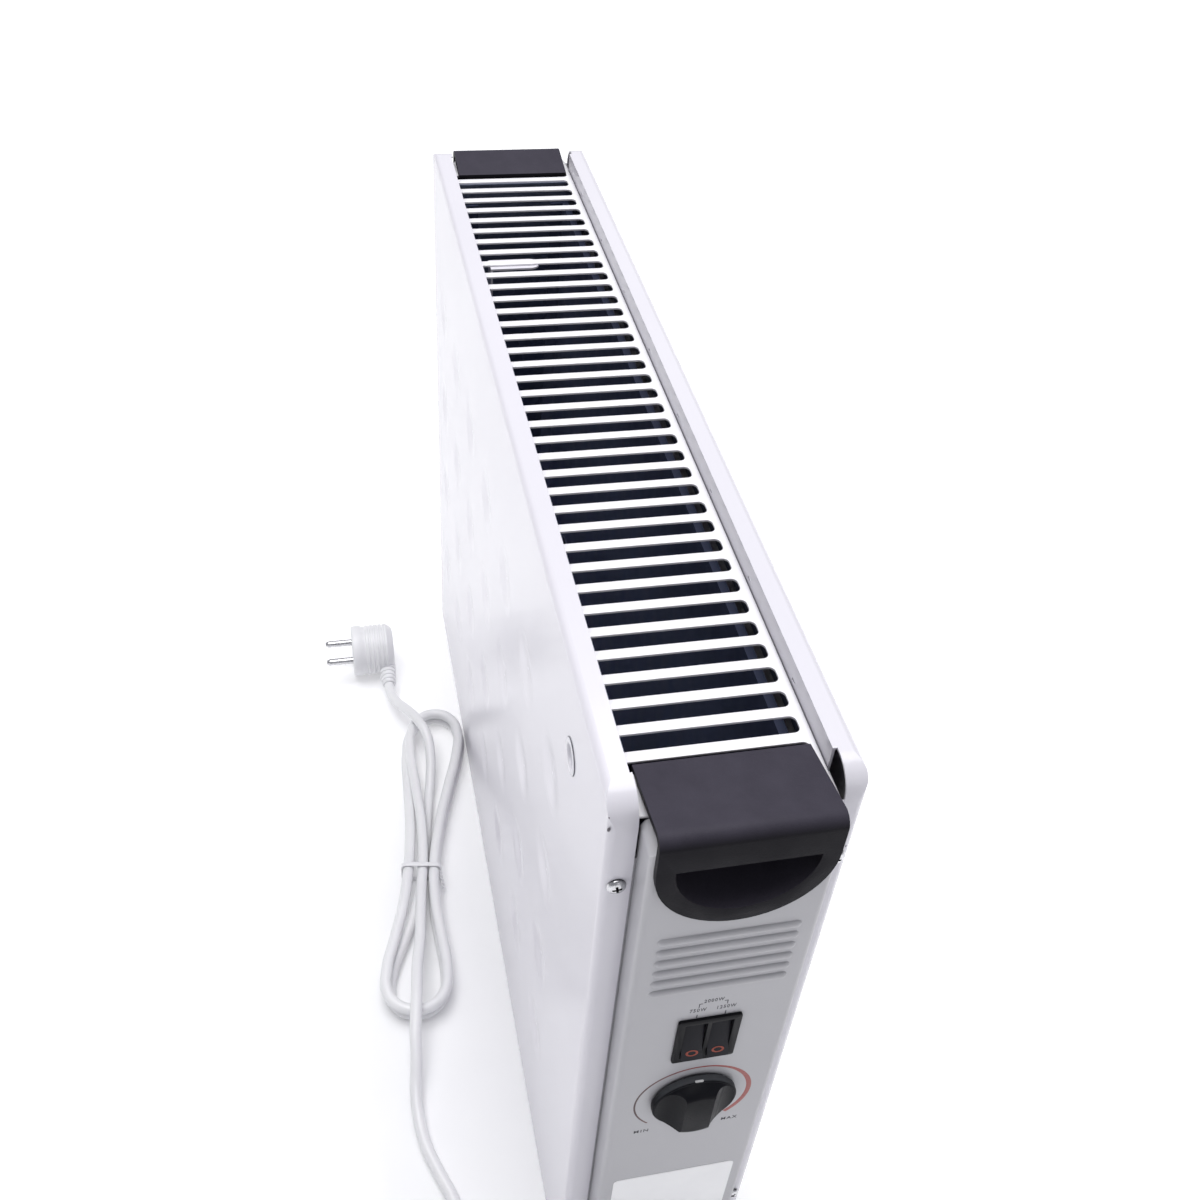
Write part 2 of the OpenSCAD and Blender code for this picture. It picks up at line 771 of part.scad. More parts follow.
module heating_element(z, first_fin) {
    legs = element_tip_x - element_bend_x;
    translate([0, 0, z]) union() {
        for (s = [-1, 1]) translate([element_bend_x, s * leg_spacing / 2, 0])
            rotate([0, 90, 0]) union() {
                cylinder(d = tube_diameter, h = legs);
                cylinder(d = 3, h = legs + 7);
            }
        translate([element_bend_x, 0, 0]) intersection() {
            rotate_extrude() translate([leg_spacing / 2, 0]) circle(d = tube_diameter);
            translate([-leg_spacing, -leg_spacing, -leg_spacing])
                cube([leg_spacing, 2 * leg_spacing, 2 * leg_spacing]);
        }
        for (x = [first_fin : fin_pitch : partition_place - 16])
            plate_yz(x, fin_thickness)
                rounded_rectangle([leg_spacing + 22, tube_diameter + 14], 4);
    }
}

module heating_element_750() {
    color("dimgray") heating_element(elements[1], upper_fin_start);
}

module heating_element_1250() {
    color("dimgray") heating_element(elements[0], hanger_x + lower_fin_start);
}

module element_bushes() {
    // Ceramic collars that carry the tubes in the control partition
    color("ivory") for (z = elements, s = [-1, 1])
        translate([partition_place - 3, s * leg_spacing / 2, z]) rotate([0, 90, 0])
            difference() {
                union() {
                    cylinder(d = tube_diameter + 6, h = 8);
                    cylinder(d = tube_diameter + 10, h = 3);
                }
                translate([0, 0, -1]) cylinder(d = tube_diameter + 0.2, h = 10);
            }
}

module thermal_cutout() {
    color("goldenrod") translate([partition_place, 0, grille_height - 74])
        rotate([0, -90, 0]) union() {
            cylinder(d = 17, h = 6);
            cylinder(d = 13, h = 9);
            for (s = [-1, 1]) translate([-1.5, s * 4 - 1.5, 8]) cube([3, 0.8, 9]);
        }
}

module tilt_switch() {
    color("dimgray") translate([partition_place + sheet, -14, 50]) union() {
        cube([15, 28, 26]);
        for (y = [5, 20]) translate([6, y, 25]) cube([3, 3, 8]);
    }
}

module thermostat_body() {
    color("beige") difference() {
        union() {
            translate([cover_face - sheet - 16, -16, knob_z - 14]) cube([16, 32, 28]);
            translate([cover_face - sheet - 1, 0, knob_z]) rotate([0, 90, 0])
                cylinder(d = bushing, h = sheet + 1.4);
        }
        translate([cover_face - sheet - 14, 0, knob_z]) rotate([0, 90, 0])
            cylinder(d = spindle + 0.1, h = 20);
    }
}

module thermostat_spindle() {
    color("silver") translate([spindle_root, 0, knob_z]) rotate([0, 90, 0])
        cylinder(d = spindle, h = knob_seat + knob_bore - 0.4 - spindle_root);
}

module thermostat_knob() {
    r = knob_diameter / 2;
    waist = 45;
    color([0.2, 0.2, 0.22]) translate([knob_seat, 0, knob_z]) rotate([0, 90, 0])
        difference() {
            union() {
                // Skirt with a soft edge
                rotate_extrude() polygon([[0, 0], [r - 0.4, 0], [r, 0.4],
                    [r, knob_skirt - 0.5], [r - 0.5, knob_skirt], [0, knob_skirt]]);
                // Finger grip, narrow in the middle
                difference() {
                    rotate_extrude() polygon([[0, knob_skirt - 0.5],
                        [r - 0.9, knob_skirt - 0.5], [r - 2.6, knob_height - 1.4],
                        [r - 4.2, knob_height], [0, knob_height]]);
                    for (s = [-1, 1])
                        translate([0, s * (waist + knob_grip / 2), knob_skirt])
                            cylinder(r = waist, h = knob_height);
                }
            }
            translate([0, 0, -1]) cylinder(d = spindle + 0.05, h = knob_bore + 1);
            // Pointer groove at the grip's upper end
            translate([-r + 1, -0.6, knob_height - 0.5]) cube([8, 1.2, 2]);
        }
}

module switch_housing() {
    bay_width = rocker_width + 0.4;
    bay_half = rocker_radius + 0.4;
    color([0.16, 0.16, 0.18]) difference() {
        union() {
            plate_yz(cover_face, bezel_proud) translate([0, switch_z])
                rounded_rectangle([bezel_width, bezel_height], 1.2);
            translate([cover_face - switch_depth, -switch_body_width / 2,
                switch_z - switch_body_height / 2])
                cube([switch_depth + 0.5, switch_body_width, switch_body_height]);
        }
        for (s = [-1, 1])
            translate([pivot_x - rocker_radius - 0.6, s * rocker_offset - bay_width / 2,
                switch_z - bay_half])
                cube([rocker_radius + 10, bay_width, 2 * bay_half]);
        translate([pivot_x, 0, switch_z]) rotate([90, 0, 0])
            cylinder(d = rocker_pin + 0.1, h = 4 * rocker_offset + 2.6, center = true);
    }
}

module switch_tabs() {
    color("gold") for (s = [-1, 1], z = [-9, 0, 9])
        translate([cover_face - switch_depth - 8, s * rocker_offset - 3, switch_z + z - 0.4])
            cube([8, 6, 0.8]);
}

module rocker(s) {
    reach = rocker_radius + 2;
    face = rocker_surface - 1.9;
    translate([pivot_x, s * rocker_offset, switch_z]) rotate([0, -rocker_tilt, 0]) union() {
        intersection() {
            rotate([90, 0, 0]) cylinder(r = rocker_radius, h = rocker_width, center = true);
            plate_xz(-rocker_width / 2, rocker_width)
                polygon([[-4, -reach],
                    [face + (reach - rocker_crease) * tan(rocker_toe), -reach],
                    [face, -rocker_crease],
                    [face + (reach + rocker_crease) * tan(2.5), reach], [-4, reach]]);
        }
        rotate([90, 0, 0])
            cylinder(d = rocker_pin, h = rocker_width + 1.4, center = true);
    }
}

module rocker_750() {
    color("black") rocker(-1);
}

module rocker_1250() {
    color("black") rocker(1);
}

module terminal_block() {
    color("ivory") difference() {
        translate([partition_place + 3, 4, 2 * sheet])
            cube([terminal_length, terminal_width, terminal_height]);
        for (y = [10, 21, 32])
            translate([partition_place + 10.5, y, 9]) cylinder(d = 5, h = 10);
    }
}

module wiring() {
    tabs = cover_face - switch_depth - 8;
    body = cover_face - sheet - 16;
    block_top = 2 * sheet + terminal_height;
    block_x = partition_place + 15;
    low = switch_z - 9;
    high = switch_z + 9;
    color("firebrick") {
        tube([[block_x, 15.5, block_top], [block_x - 1, 15.5, 24], [block_x - 6, 20, 60],
            [block_x - 8, 26, 110], [block_x - 8, 26, 160], [tabs - 7, 20, low - 34],
            [tabs - 7, 9, low - 9], [tabs - 5, rocker_offset, low],
            [tabs, rocker_offset, low]], 2.6, 8);
        tube([[block_x, 26.5, block_top], [block_x - 1, 26.5, 24], [block_x - 1, 28, 70],
            [block_x + 1, 26, 120], [block_x, 20, knob_z - 24], [body - 6, 12, knob_z - 8],
            [body - 5, 11, knob_z - 3], [body, 11, knob_z - 3]], 2.6, 8);
    }
    color("royalblue") for (s = [-1, 1])
        tube([[element_tip_x + 7, s * leg_spacing / 2, elements[s > 0 ? 0 : 1]],
            [element_tip_x + 11, s * leg_spacing / 2, elements[s > 0 ? 0 : 1]],
            [element_tip_x + 13, s * 19, elements[1] + 12], [tabs + 1, s * 22, 170],
            [tabs - 2, s * 21, high - 40], [tabs - 6, s * 14, high - 6],
            [tabs - 5, s * rocker_offset, high], [tabs, s * rocker_offset, high]], 2.6, 8);
}

// Supply cord

module cord_gland() {
    tip = gland_reach;
    color("white") translate([cover_face, cable_y, cable_z]) rotate([0, 90, 0])
        difference() {
            rotate_extrude() polygon([[0, -7], [6, -7], [6, -4], [8, -4], [8, -1], [6, -1],
                [6, 0], [8.5, 0], [8.5, 2.4], [6.4, 3.6], [4.6, tip - 0.8], [4.2, tip],
                [0, tip]]);
            translate([0, 0, -8]) cylinder(d = cord_diameter, h = 7);
        }
}

function hank_inset(a) = hank_step * abs(hank_loops / 2 - a / 360);
function lobe_length(a) = sin(a) > 0 ? near_lobe : far_lobe;
function climb(t) = t <= 0 ? 0 : t >= 1 ? 1 : t * t * (3 - 2 * t);
function hank_height(a) = hank_low + hank_layer * climb((a - 180 * hank_loops + 45) / 45);
function hank_place(u, v, z) = [
    hank_centre[0] + u * cos(hank_turn) - v * sin(hank_turn),
    hank_centre[1] + u * sin(hank_turn) + v * cos(hank_turn), z];
// A run out to each lobe's round tip and back, drawn in at the waist
function hank_point(a) = let(reach = lobe_length(a), out = sin(a) * sin(a),
    inset = hank_inset(a) * (1 - 0.7 * out))
    hank_place((reach - inset) * sin(a) + reach / 50 * sin(3 * a),
        -(hank_waist + hank_swell * out - inset) * cos(a), hank_height(a));
function hank_end(run, a) = hank_place(run, -(hank_waist - hank_inset(a)), hank_height(a));
hank_turns = 360 * hank_loops;
hank_start = hank_end(-cord_diameter, 0);
hank_exit = hank_end(cord_diameter, hank_turns);
HANK_POINTS = concat([hank_start],
    [for (i = [0:rings_per_loop * hank_loops]) hank_point(360 * i / rings_per_loop)],
    [hank_exit]);
boot_tip = [boot_tip_x, boot_y, boot_z];
gland_tip = [cover_face + gland_reach, cable_y, cable_z];
LEAD = concat([gland_tip, gland_tip + [cord_diameter, 0, 0]], LEAD_POINTS,
    [hank_end(2 * cord_diameter, hank_turns), hank_exit]);
TAIL = concat([hank_start, hank_end(-2 * cord_diameter, 0)], TAIL_POINTS,
    [boot_tip + [cord_diameter, 0, 0], boot_tip]);

// Least distance of a run to itself beyond its neighbours, less one diameter
function between(points) = [for (i = [0:len(points) - 2], k = [0:3])
    points[i] + (points[i + 1] - points[i]) * k / 4];
function self_gap(points, skip) = min([for (i = [0:len(points) - 1 - skip],
    j = [i + skip:len(points) - 1]) norm(points[i] - points[j])]) - cord_diameter;
hank_samples = between(HANK_POINTS);
echo(least_hank_gap = self_gap(hank_samples, 4 * 5));

module cord_lead() {
    color("white") tube(LEAD, cord_diameter, 8);
}

module cord_hank() {
    color("white") tube(HANK_POINTS, cord_diameter, 6);
}

module cord_tail() {
    color("white") tube(TAIL, cord_diameter, 8);
}

module hank_tie() {
    left = -hank_waist - cord_diameter / 2 - 0.3;
    right = hank_waist - hank_step / 2 * hank_loops / 2 + cord_diameter / 2 + 0.3;
    top = hank_low + hank_layer + cord_diameter / 2 + 0.3;
    low = hank_lift - 0.3;
    band = 0.9;
    color("white") translate([hank_centre[0], hank_centre[1], 0]) rotate(hank_turn)
        translate([-1.5, 0, 0]) rotate([90, 0, 90]) linear_extrude(height = 3)
            difference() {
                translate([(left + right) / 2, (low + top) / 2])
                    rounded_rectangle([right - left + 2 * band, top - low + 2 * band], 3.6);
                translate([(left + right) / 2, (low + top) / 2])
                    rounded_rectangle([right - left, top - low], 2.7);
            }
}

module plug_body() {
    half = plug_length / 2;
    color("white") difference() {
        union() {
            translate([plug_x, plug_y, plug_z]) rotate([90, 0, 0]) rotate_extrude()
                polygon([[0, -half], [plug_z - 5, -half], [plug_z - 2, -half + 1.2],
                    [plug_z, -half + 4], [plug_z, half - 1], [plug_z - 1, half], [0, half]]);
            // Strain relief towards the cord
            translate(boot_tip) rotate([0, -90, 0])
                cylinder(d1 = 9.4, d2 = 13, h = 20);
        }
        for (s = [-1, 1]) translate([plug_x + s * pin_spacing / 2, plug_y - half - 1, plug_z])
            rotate([-90, 0, 0]) cylinder(d = pin_diameter, h = 9);
    }
}

module plug_pins() {
    half = plug_length / 2;
    color("silver") for (s = [-1, 1])
        translate([plug_x + s * pin_spacing / 2, plug_y - half - pin_length, plug_z])
            rotate([-90, 0, 0]) union() {
                translate([0, 0, 2]) cylinder(d = pin_diameter, h = pin_length + 6);
                cylinder(d1 = 3, d2 = pin_diameter, h = 2);
            }
}

front_panel();
back_panel();
top_grille();
base_pan();
control_end_cover();
far_end_cover();
control_end_handle();
far_end_handle();
end_screws();
control_partition();
far_partition();
front_heat_shield();
back_heat_shield();
grille_brace();
element_hanger();
heating_element_750();
heating_element_1250();
element_bushes();
thermal_cutout();
tilt_switch();
thermostat_body();
thermostat_spindle();
thermostat_knob();
switch_housing();
switch_tabs();
rocker_750();
rocker_1250();
terminal_block();
wiring();
cord_gland();
cord_lead();
cord_hank();
cord_tail();
hank_tie();
plug_body();
plug_pins();
hole_plug();
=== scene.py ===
from math import cos, pi, radians, sin

import bmesh
import bpy
from mathutils import Matrix, Vector


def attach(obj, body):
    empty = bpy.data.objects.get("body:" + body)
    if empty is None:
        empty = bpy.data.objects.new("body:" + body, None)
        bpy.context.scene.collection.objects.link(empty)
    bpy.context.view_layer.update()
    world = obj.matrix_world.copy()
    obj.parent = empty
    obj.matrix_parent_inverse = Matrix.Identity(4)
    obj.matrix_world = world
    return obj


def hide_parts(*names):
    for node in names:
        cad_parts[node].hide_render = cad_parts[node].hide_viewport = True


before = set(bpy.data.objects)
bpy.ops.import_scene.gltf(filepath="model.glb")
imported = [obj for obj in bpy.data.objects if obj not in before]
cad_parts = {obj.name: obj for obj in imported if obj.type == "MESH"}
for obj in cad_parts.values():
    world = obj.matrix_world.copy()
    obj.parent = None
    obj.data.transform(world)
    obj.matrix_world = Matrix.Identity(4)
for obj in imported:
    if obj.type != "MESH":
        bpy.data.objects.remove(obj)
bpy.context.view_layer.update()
mm = 0.001
studio = bpy.context.scene
print("frame loaded:", len(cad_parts), "nodes")


# Camera, light and floor

cameraSet = {
    "place": (0.5071, -0.1245, 0.7103),
    "right": (0.20498, 0.97652, 0.06630),
    "down": (0.66899, -0.09034, -0.73776),
    "forward": (-0.71445, 0.19558, -0.67180),
    "lens": 39.134,
}

lightSet = {
    "skyColour": (0.93, 0.94, 1.0, 1.0),
    "skyStrength": 0.34,
    "softboxes": {
        # name: place, aim, width, height, watts
        "overhead": ((-0.3, -0.1, 2.3), (0.0, 0.0, 0.3), 2.2, 1.8, 55),
        "frontBox": ((-0.4, -2.0, 0.9), (0.0, 0.0, 0.15), 2.4, 1.4, 2),
        "endBox": ((2.2, 0.9, 1.1), (0.25, 0.0, 0.25), 1.2, 1.2, 3),
    },
}


def buildCamera():
    right, down, forward = (Vector(cameraSet[k]) for k in ("right", "down", "forward"))
    turn = Matrix((right, -down, -forward)).transposed().to_4x4()
    lens = bpy.data.cameras.new("photoCamera")
    lens.sensor_width = 36
    lens.lens = cameraSet["lens"]
    lens.clip_start = 0.01
    holder = bpy.data.objects.new("photoCamera", lens)
    studio.collection.objects.link(holder)
    holder.matrix_world = Matrix.Translation(cameraSet["place"]) @ turn
    studio.camera = holder


def buildLights():
    sky = bpy.data.worlds.new("paleSky")
    sky.use_nodes = True
    backing = sky.node_tree.nodes["Background"]
    backing.inputs["Color"].default_value = lightSet["skyColour"]
    backing.inputs["Strength"].default_value = lightSet["skyStrength"]
    studio.world = sky
    studio.view_settings.view_transform = "Standard"
    for name, (place, aim, width, height, watts) in lightSet["softboxes"].items():
        lamp = bpy.data.lights.new(name, "AREA")
        lamp.shape = "RECTANGLE"
        lamp.size = width
        lamp.size_y = height
        lamp.energy = watts
        holder = bpy.data.objects.new(name, lamp)
        studio.collection.objects.link(holder)
        towards = (Vector(aim) - Vector(place)).to_track_quat("-Z", "Y")
        holder.matrix_world = Matrix.Translation(place) @ towards.to_matrix().to_4x4()


# Finishes: a small wrapper that lets shader values be added, multiplied and compared

class Wire:
    def __init__(self, coat, socket):
        self.coat = coat
        self.socket = socket

    def combine(self, operation, first, second):
        return self.coat.node("ShaderNodeMath", {"operation": operation},
                              {0: first, 1: second})

    def __add__(self, other):
        return self.combine("ADD", self, other)

    def __radd__(self, other):
        return self.combine("ADD", other, self)

    def __mul__(self, other):
        return self.combine("MULTIPLY", self, other)

    def __rmul__(self, other):
        return self.combine("MULTIPLY", other, self)

    def __pow__(self, other):
        return self.combine("POWER", self, other)

    def __gt__(self, other):
        return self.combine("GREATER_THAN", self, other)

    def __lt__(self, other):
        return self.combine("LESS_THAN", self, other)


class Coat:
    def __init__(self, name, constants):
        self.material = bpy.data.materials.new(name)
        self.material.use_nodes = True
        self.tree = self.material.node_tree
        self.shader = self.tree.nodes["Principled BSDF"]
        for socket, value in constants.items():
            self.shader.inputs[socket].default_value = value
        self.place = self.node("ShaderNodeTexCoord", out="Object")

    def node(self, kind, settings=None, inlets=None, out=0):
        made = self.tree.nodes.new(kind)
        for field, value in (settings or {}).items():
            setattr(made, field, value)
        for socket, value in (inlets or {}).items():
            if isinstance(value, Wire):
                self.tree.links.new(value.socket, made.inputs[socket])
            else:
                made.inputs[socket].default_value = value
        return Wire(self, made.outputs[out])

    def along(self, axis, vector=None):
        return self.node("ShaderNodeSeparateXYZ", {}, {"Vector": vector or self.place},
                         out=axis)

    def length(self, vector):
        return self.node("ShaderNodeVectorMath", {"operation": "LENGTH"}, {0: vector},
                         out="Value")

    def larger(self, first, second):
        return self.node("ShaderNodeMath", {"operation": "MAXIMUM"}, {0: first, 1: second})

    def stretched(self, scale, centre=(0, 0, 0), turn=(0, 0, 0)):
        return self.node("ShaderNodeMapping", {"vector_type": "POINT"},
                         {"Vector": self.place, "Location": centre, "Rotation": turn,
                          "Scale": scale})

    def noise(self, scale, detail=3.0, rough=0.5, place=None):
        return self.node("ShaderNodeTexNoise", {"noise_dimensions": "3D"},
                         {"Vector": place or self.place, "Scale": scale, "Detail": detail,
                          "Roughness": rough}, out="Fac")

    def cells(self, scale, place=None, out="Distance"):
        return self.node("ShaderNodeTexVoronoi", {"voronoi_dimensions": "3D"},
                         {"Vector": place or self.place, "Scale": scale}, out=out)

    def spread(self, value, low, high, fromLow=0.3, fromHigh=0.7):
        return self.node("ShaderNodeMapRange", {"clamp": True},
                         {"Value": value, "From Min": fromLow, "From Max": fromHigh,
                          "To Min": low, "To Max": high})

    def colours(self, factor, first, second):
        return self.node("ShaderNodeMix", {"data_type": "RGBA"},
                         {0: factor, 6: first, 7: second}, out=2)

    def feed(self, socket, value):
        self.tree.links.new(value.socket, self.shader.inputs[socket])

    def relief(self, height, strength, depth):
        bump = self.node("ShaderNodeBump", {}, {"Height": height, "Strength": strength,
                                                "Distance": depth})
        self.feed("Normal", bump)


def paint(red, green, blue):
    return (red, green, blue, 1.0)


finishes = {}

# Where painted shade and painted light go, and where the arc's ink warms
shadeAndInkSet = {
    "seamReach": 1.3,  # how far the painted shade spreads from a joint or crease in the enamel
    "seamShade": 0.7,  # its strength
    # colour of the painted shade in seams and under ledges
    "paintedShade": paint(0.12, 0.12, 0.145),
    "ductTop": 368.6,  # below this height the grille faces the duct
    # colour of the painted shade inside the duct
    "ductShade": paint(0.022, 0.025, 0.04),
    "shieldPale": 90,  # the heat shields are pale up to this height
    "shieldDarkest": 345,  # and fully dark with painted shade here
    "knobFront": 269.5,  # the knob's up-facing faces are lightened only behind this plane
    "arcCool": -24,  # the arc's ink warms between these places across the cover
    "arcWarm": 12,
}


def creaseShade(coat, reach):
    # Painted shade: darker where surfaces meet, in seams and creases
    opening = coat.node("ShaderNodeAmbientOcclusion", {"samples": 6},
                        {"Distance": reach * mm}, out="AO")
    return coat.spread(opening, 1, 0, 0.1, 0.52)


def enamel(slot, light, dark, gloss, coatWeight, peel, undersideShade=0.0, ductShadeBelow=0.0):
    # Sprayed enamel: slow changes of tone, a fine orange-peel surface, faint handling marks,
    # and painted shade in seams and creases
    coat = Coat(slot, {"Specular IOR Level": 0.38, "Coat Weight": coatWeight,
                       "Coat Roughness": 0.06})
    tone = coat.noise(7, 4, 0.55)
    tint = coat.colours(coat.spread(tone, 0.0, 1.0), light, dark)
    # Painted shade in seams and creases, darkening the enamel where surfaces meet
    shadeMask = creaseShade(coat, shadeAndInkSet["seamReach"]) * shadeAndInkSet["seamShade"]
    if undersideShade:
        # Ledges that face down are painted darker: painted shade under them
        upward = coat.along("Z", coat.node("ShaderNodeTexCoord", out="Normal"))
        ledgeShade = coat.spread(upward, undersideShade, 0, -0.8, -0.2)
        shadeMask = coat.larger(shadeMask, ledgeShade)
    tint = coat.colours(shadeMask, tint, shadeAndInkSet["paintedShade"])
    if ductShadeBelow:
        # Below this height the plate faces the duct and is painted dark: painted shade of the
        # duct's interior
        tint = coat.colours(coat.along("Z") < ductShadeBelow * mm, tint, shadeAndInkSet["ductShade"])
    coat.feed("Base Color", tint)
    handled = coat.noise(14, 3, 0.5)
    coat.feed("Roughness", coat.spread(handled, gloss + 0.02, gloss + 0.07, 0.15, 0.85))
    coat.relief(coat.noise(520, 2, 0.4), peel, 0.00006)
    finishes[slot] = coat.material


def moulding(slot, light, dark, gloss, grain, depth, constants=None, topLightAndDust=None, lightenedBehind=0):
    # Moulded plastic: a spark-eroded grain, slight flow marks and rubbed patches
    coat = Coat(slot, constants or {"Specular IOR Level": 0.45})
    flow = coat.noise(18, 4, 0.6)
    tint = coat.colours(coat.spread(flow, 0.0, 1.0), light, dark)
    if topLightAndDust:
        # Faces that look up are painted lighter: painted light from above, and dust
        upward = coat.along("Z", coat.node("ShaderNodeTexCoord", out="Normal"))
        litAndDusty = coat.spread(upward, 0, 1, 0.2, 0.97)
        if lightenedBehind:
            # Only faces behind this plane are lightened
            litAndDusty = litAndDusty * coat.spread(coat.along("X"), 1, 0.12, lightenedBehind * mm,
                                            (lightenedBehind + 0.4) * mm)
        tint = coat.colours(litAndDusty * coat.spread(coat.noise(90, 5, 0.65), 0.82, 1.0), tint,
                            topLightAndDust)
    coat.feed("Base Color", tint)
    rubbed = coat.noise(60, 4, 0.55)
    coat.feed("Roughness", coat.spread(rubbed, gloss - 0.05, gloss + 0.07))
    fine = coat.cells(grain)
    coat.relief(fine + coat.noise(grain * 1.7, 2, 0.5) * 0.6, depth, 0.00012)
    finishes[slot] = coat.material


def metal(slot, light, dark, gloss, spangle=0.0, brushed=(1, 1, 1), scale=90):
    # Sheet and turned metal: crystal spangle or drawn lines, and a little dull oxide
    coat = Coat(slot, {"Metallic": 1.0})
    drawn = coat.noise(scale, 4, 0.55, coat.stretched(brushed))
    if spangle:
        crystals = coat.cells(spangle, out="Color")
        tint = coat.node("ShaderNodeSeparateColor", {}, {"Color": crystals})
        mixture = tint * 0.55 + drawn * 0.45
    else:
        mixture = drawn
    coat.feed("Base Color", coat.colours(coat.spread(mixture, 0.0, 1.0), light, dark))
    coat.feed("Roughness", coat.spread(mixture, gloss, gloss + 0.16))
    coat.relief(drawn, 0.12, 0.0001)
    finishes[slot] = coat.material


def shadedShieldSheet(slot):
    # Heat shields: streaked steel, pale blue at the foot and painted dark navy towards the
    # top; the blue tint and the dark are painted shade of the duct seen through the slots
    coat = Coat(slot, {"Specular IOR Level": 0.3})
    streaks = coat.noise(22, 4, 0.6, coat.stretched((3, 1, 0.25)))
    shadeTowardsTop = coat.spread(coat.along("Z"), 0, 1, shadeAndInkSet["shieldPale"] * mm,
                      shadeAndInkSet["shieldDarkest"] * mm) ** 0.5
    paleBlueStreaks = coat.colours(coat.spread(streaks, 0, 1, 0.35, 0.65), paint(0.50, 0.59, 0.95),
                          paint(0.62, 0.70, 1.0))
    # Painted shade: the streaked steel turns dark navy towards the top
    coat.feed("Base Color", coat.colours(shadeTowardsTop, paleBlueStreaks, paint(0.056, 0.066, 0.118)))
    coat.feed("Metallic", coat.spread(streaks, 0.1, 0.35))
    coat.feed("Roughness", coat.spread(coat.noise(80, 4), 0.45, 0.6))
    coat.relief(coat.noise(400, 2), 0.15, 0.0001)
    finishes[slot] = coat.material


def screwZinc(name):
    # Zinc-plated heads: bright on the crown, with painted shade, nearly black, in the recess
    # and round the seat
    coat = Coat(name, {"Metallic": 1.0})
    grain = coat.noise(900, 3, 0.55)
    plating = coat.colours(coat.spread(grain, 0, 1), paint(0.72, 0.72, 0.73),
                           paint(0.50, 0.50, 0.53))
    opening = coat.node("ShaderNodeAmbientOcclusion", {"samples": 8}, {"Distance": 2.4 * mm},
                        out="AO")
    # Painted shade in the recess and round the seat
    coat.feed("Base Color", coat.colours(coat.spread(opening, 1, 0, 0.6, 0.97), plating,
                                         paint(0.012, 0.012, 0.016)))
    coat.feed("Roughness", coat.spread(grain, 0.14, 0.3))
    coat.relief(grain, 0.1, 0.0001)
    finishes[name] = coat.material


def heatedTube(slot):
    # Heating tube and fins: annealed grey steel with straw and blue heat tints
    coat = Coat(slot, {"Metallic": 0.85})
    patches = coat.noise(14, 4, 0.6, coat.stretched((1, 3, 3)))
    straw = coat.colours(coat.spread(patches, 0, 1, 0.35, 0.6), paint(0.19, 0.18, 0.18),
                         paint(0.21, 0.16, 0.11))
    blue = coat.colours(coat.spread(coat.noise(22), 0, 1, 0.52, 0.7), straw,
                        paint(0.10, 0.11, 0.16))
    coat.feed("Base Color", blue)
    coat.feed("Roughness", coat.spread(coat.noise(120), 0.42, 0.62))
    coat.relief(coat.noise(900, 2), 0.2, 0.0001)
    finishes[slot] = coat.material


def printInk(name, light, dark):
    # Screen-printed ink, a little thin in places
    coat = Coat(name, {"Specular IOR Level": 0.4})
    thin = coat.noise(1400, 3, 0.6)
    coat.feed("Base Color", coat.colours(coat.spread(thin, 0, 1, 0.35, 0.75), light, dark))
    coat.feed("Roughness", coat.spread(thin, 0.35, 0.5))
    finishes[name] = coat.material


def warmingInk(name, cool, warm):
    # The temperature arc: its ink turns from dark to red across the cover
    coat = Coat(name, {"Specular IOR Level": 0.4})
    warmth = coat.spread(coat.along("Y"), 0, 1, shadeAndInkSet["arcCool"] * mm,
                         shadeAndInkSet["arcWarm"] * mm)
    mixture = warmth + coat.noise(1400, 3, 0.6) * 0.1
    coat.feed("Base Color", coat.colours(mixture, cool, warm))
    coat.feed("Roughness", coat.spread(coat.noise(700), 0.35, 0.5))
    finishes[name] = coat.material


def labelFilm(name):
    # Blank film label: faintly rippled where it was pressed down
    coat = Coat(name, {"Specular IOR Level": 0.45})
    pressed = coat.noise(70, 4, 0.55)
    coat.feed("Base Color", coat.colours(coat.spread(pressed, 0, 1), paint(0.93, 0.93, 0.94),
                                         paint(0.90, 0.90, 0.915)))
    coat.feed("Roughness", coat.spread(pressed, 0.38, 0.48))
    coat.relief(coat.noise(160, 3, 0.5), 0.12, 0.0002)
    finishes[name] = coat.material


def seamedCap(name, centre, seam):
    # White snap-in cap, darker round its rim: a painted shadow of the gap at the joint, and
    # painted shade in its creases
    coat = Coat(name, {"Specular IOR Level": 0.45})
    offset = coat.stretched((1, 0, 1), (-centre[0] * mm, 0, -centre[2] * mm))
    reach = coat.length(offset)
    gapShadow = (reach > seam * mm) * coat.spread(coat.noise(300), 0.75, 1.0)
    paintedShade = coat.larger(gapShadow, creaseShade(coat, 1))
    coat.feed("Base Color", coat.colours(paintedShade, paint(0.71, 0.70, 0.745),
                                         paint(0.10, 0.10, 0.125)))
    coat.feed("Roughness", coat.spread(coat.noise(200, 4), 0.28, 0.4) + paintedShade * 0.3)
    finishes[name] = coat.material


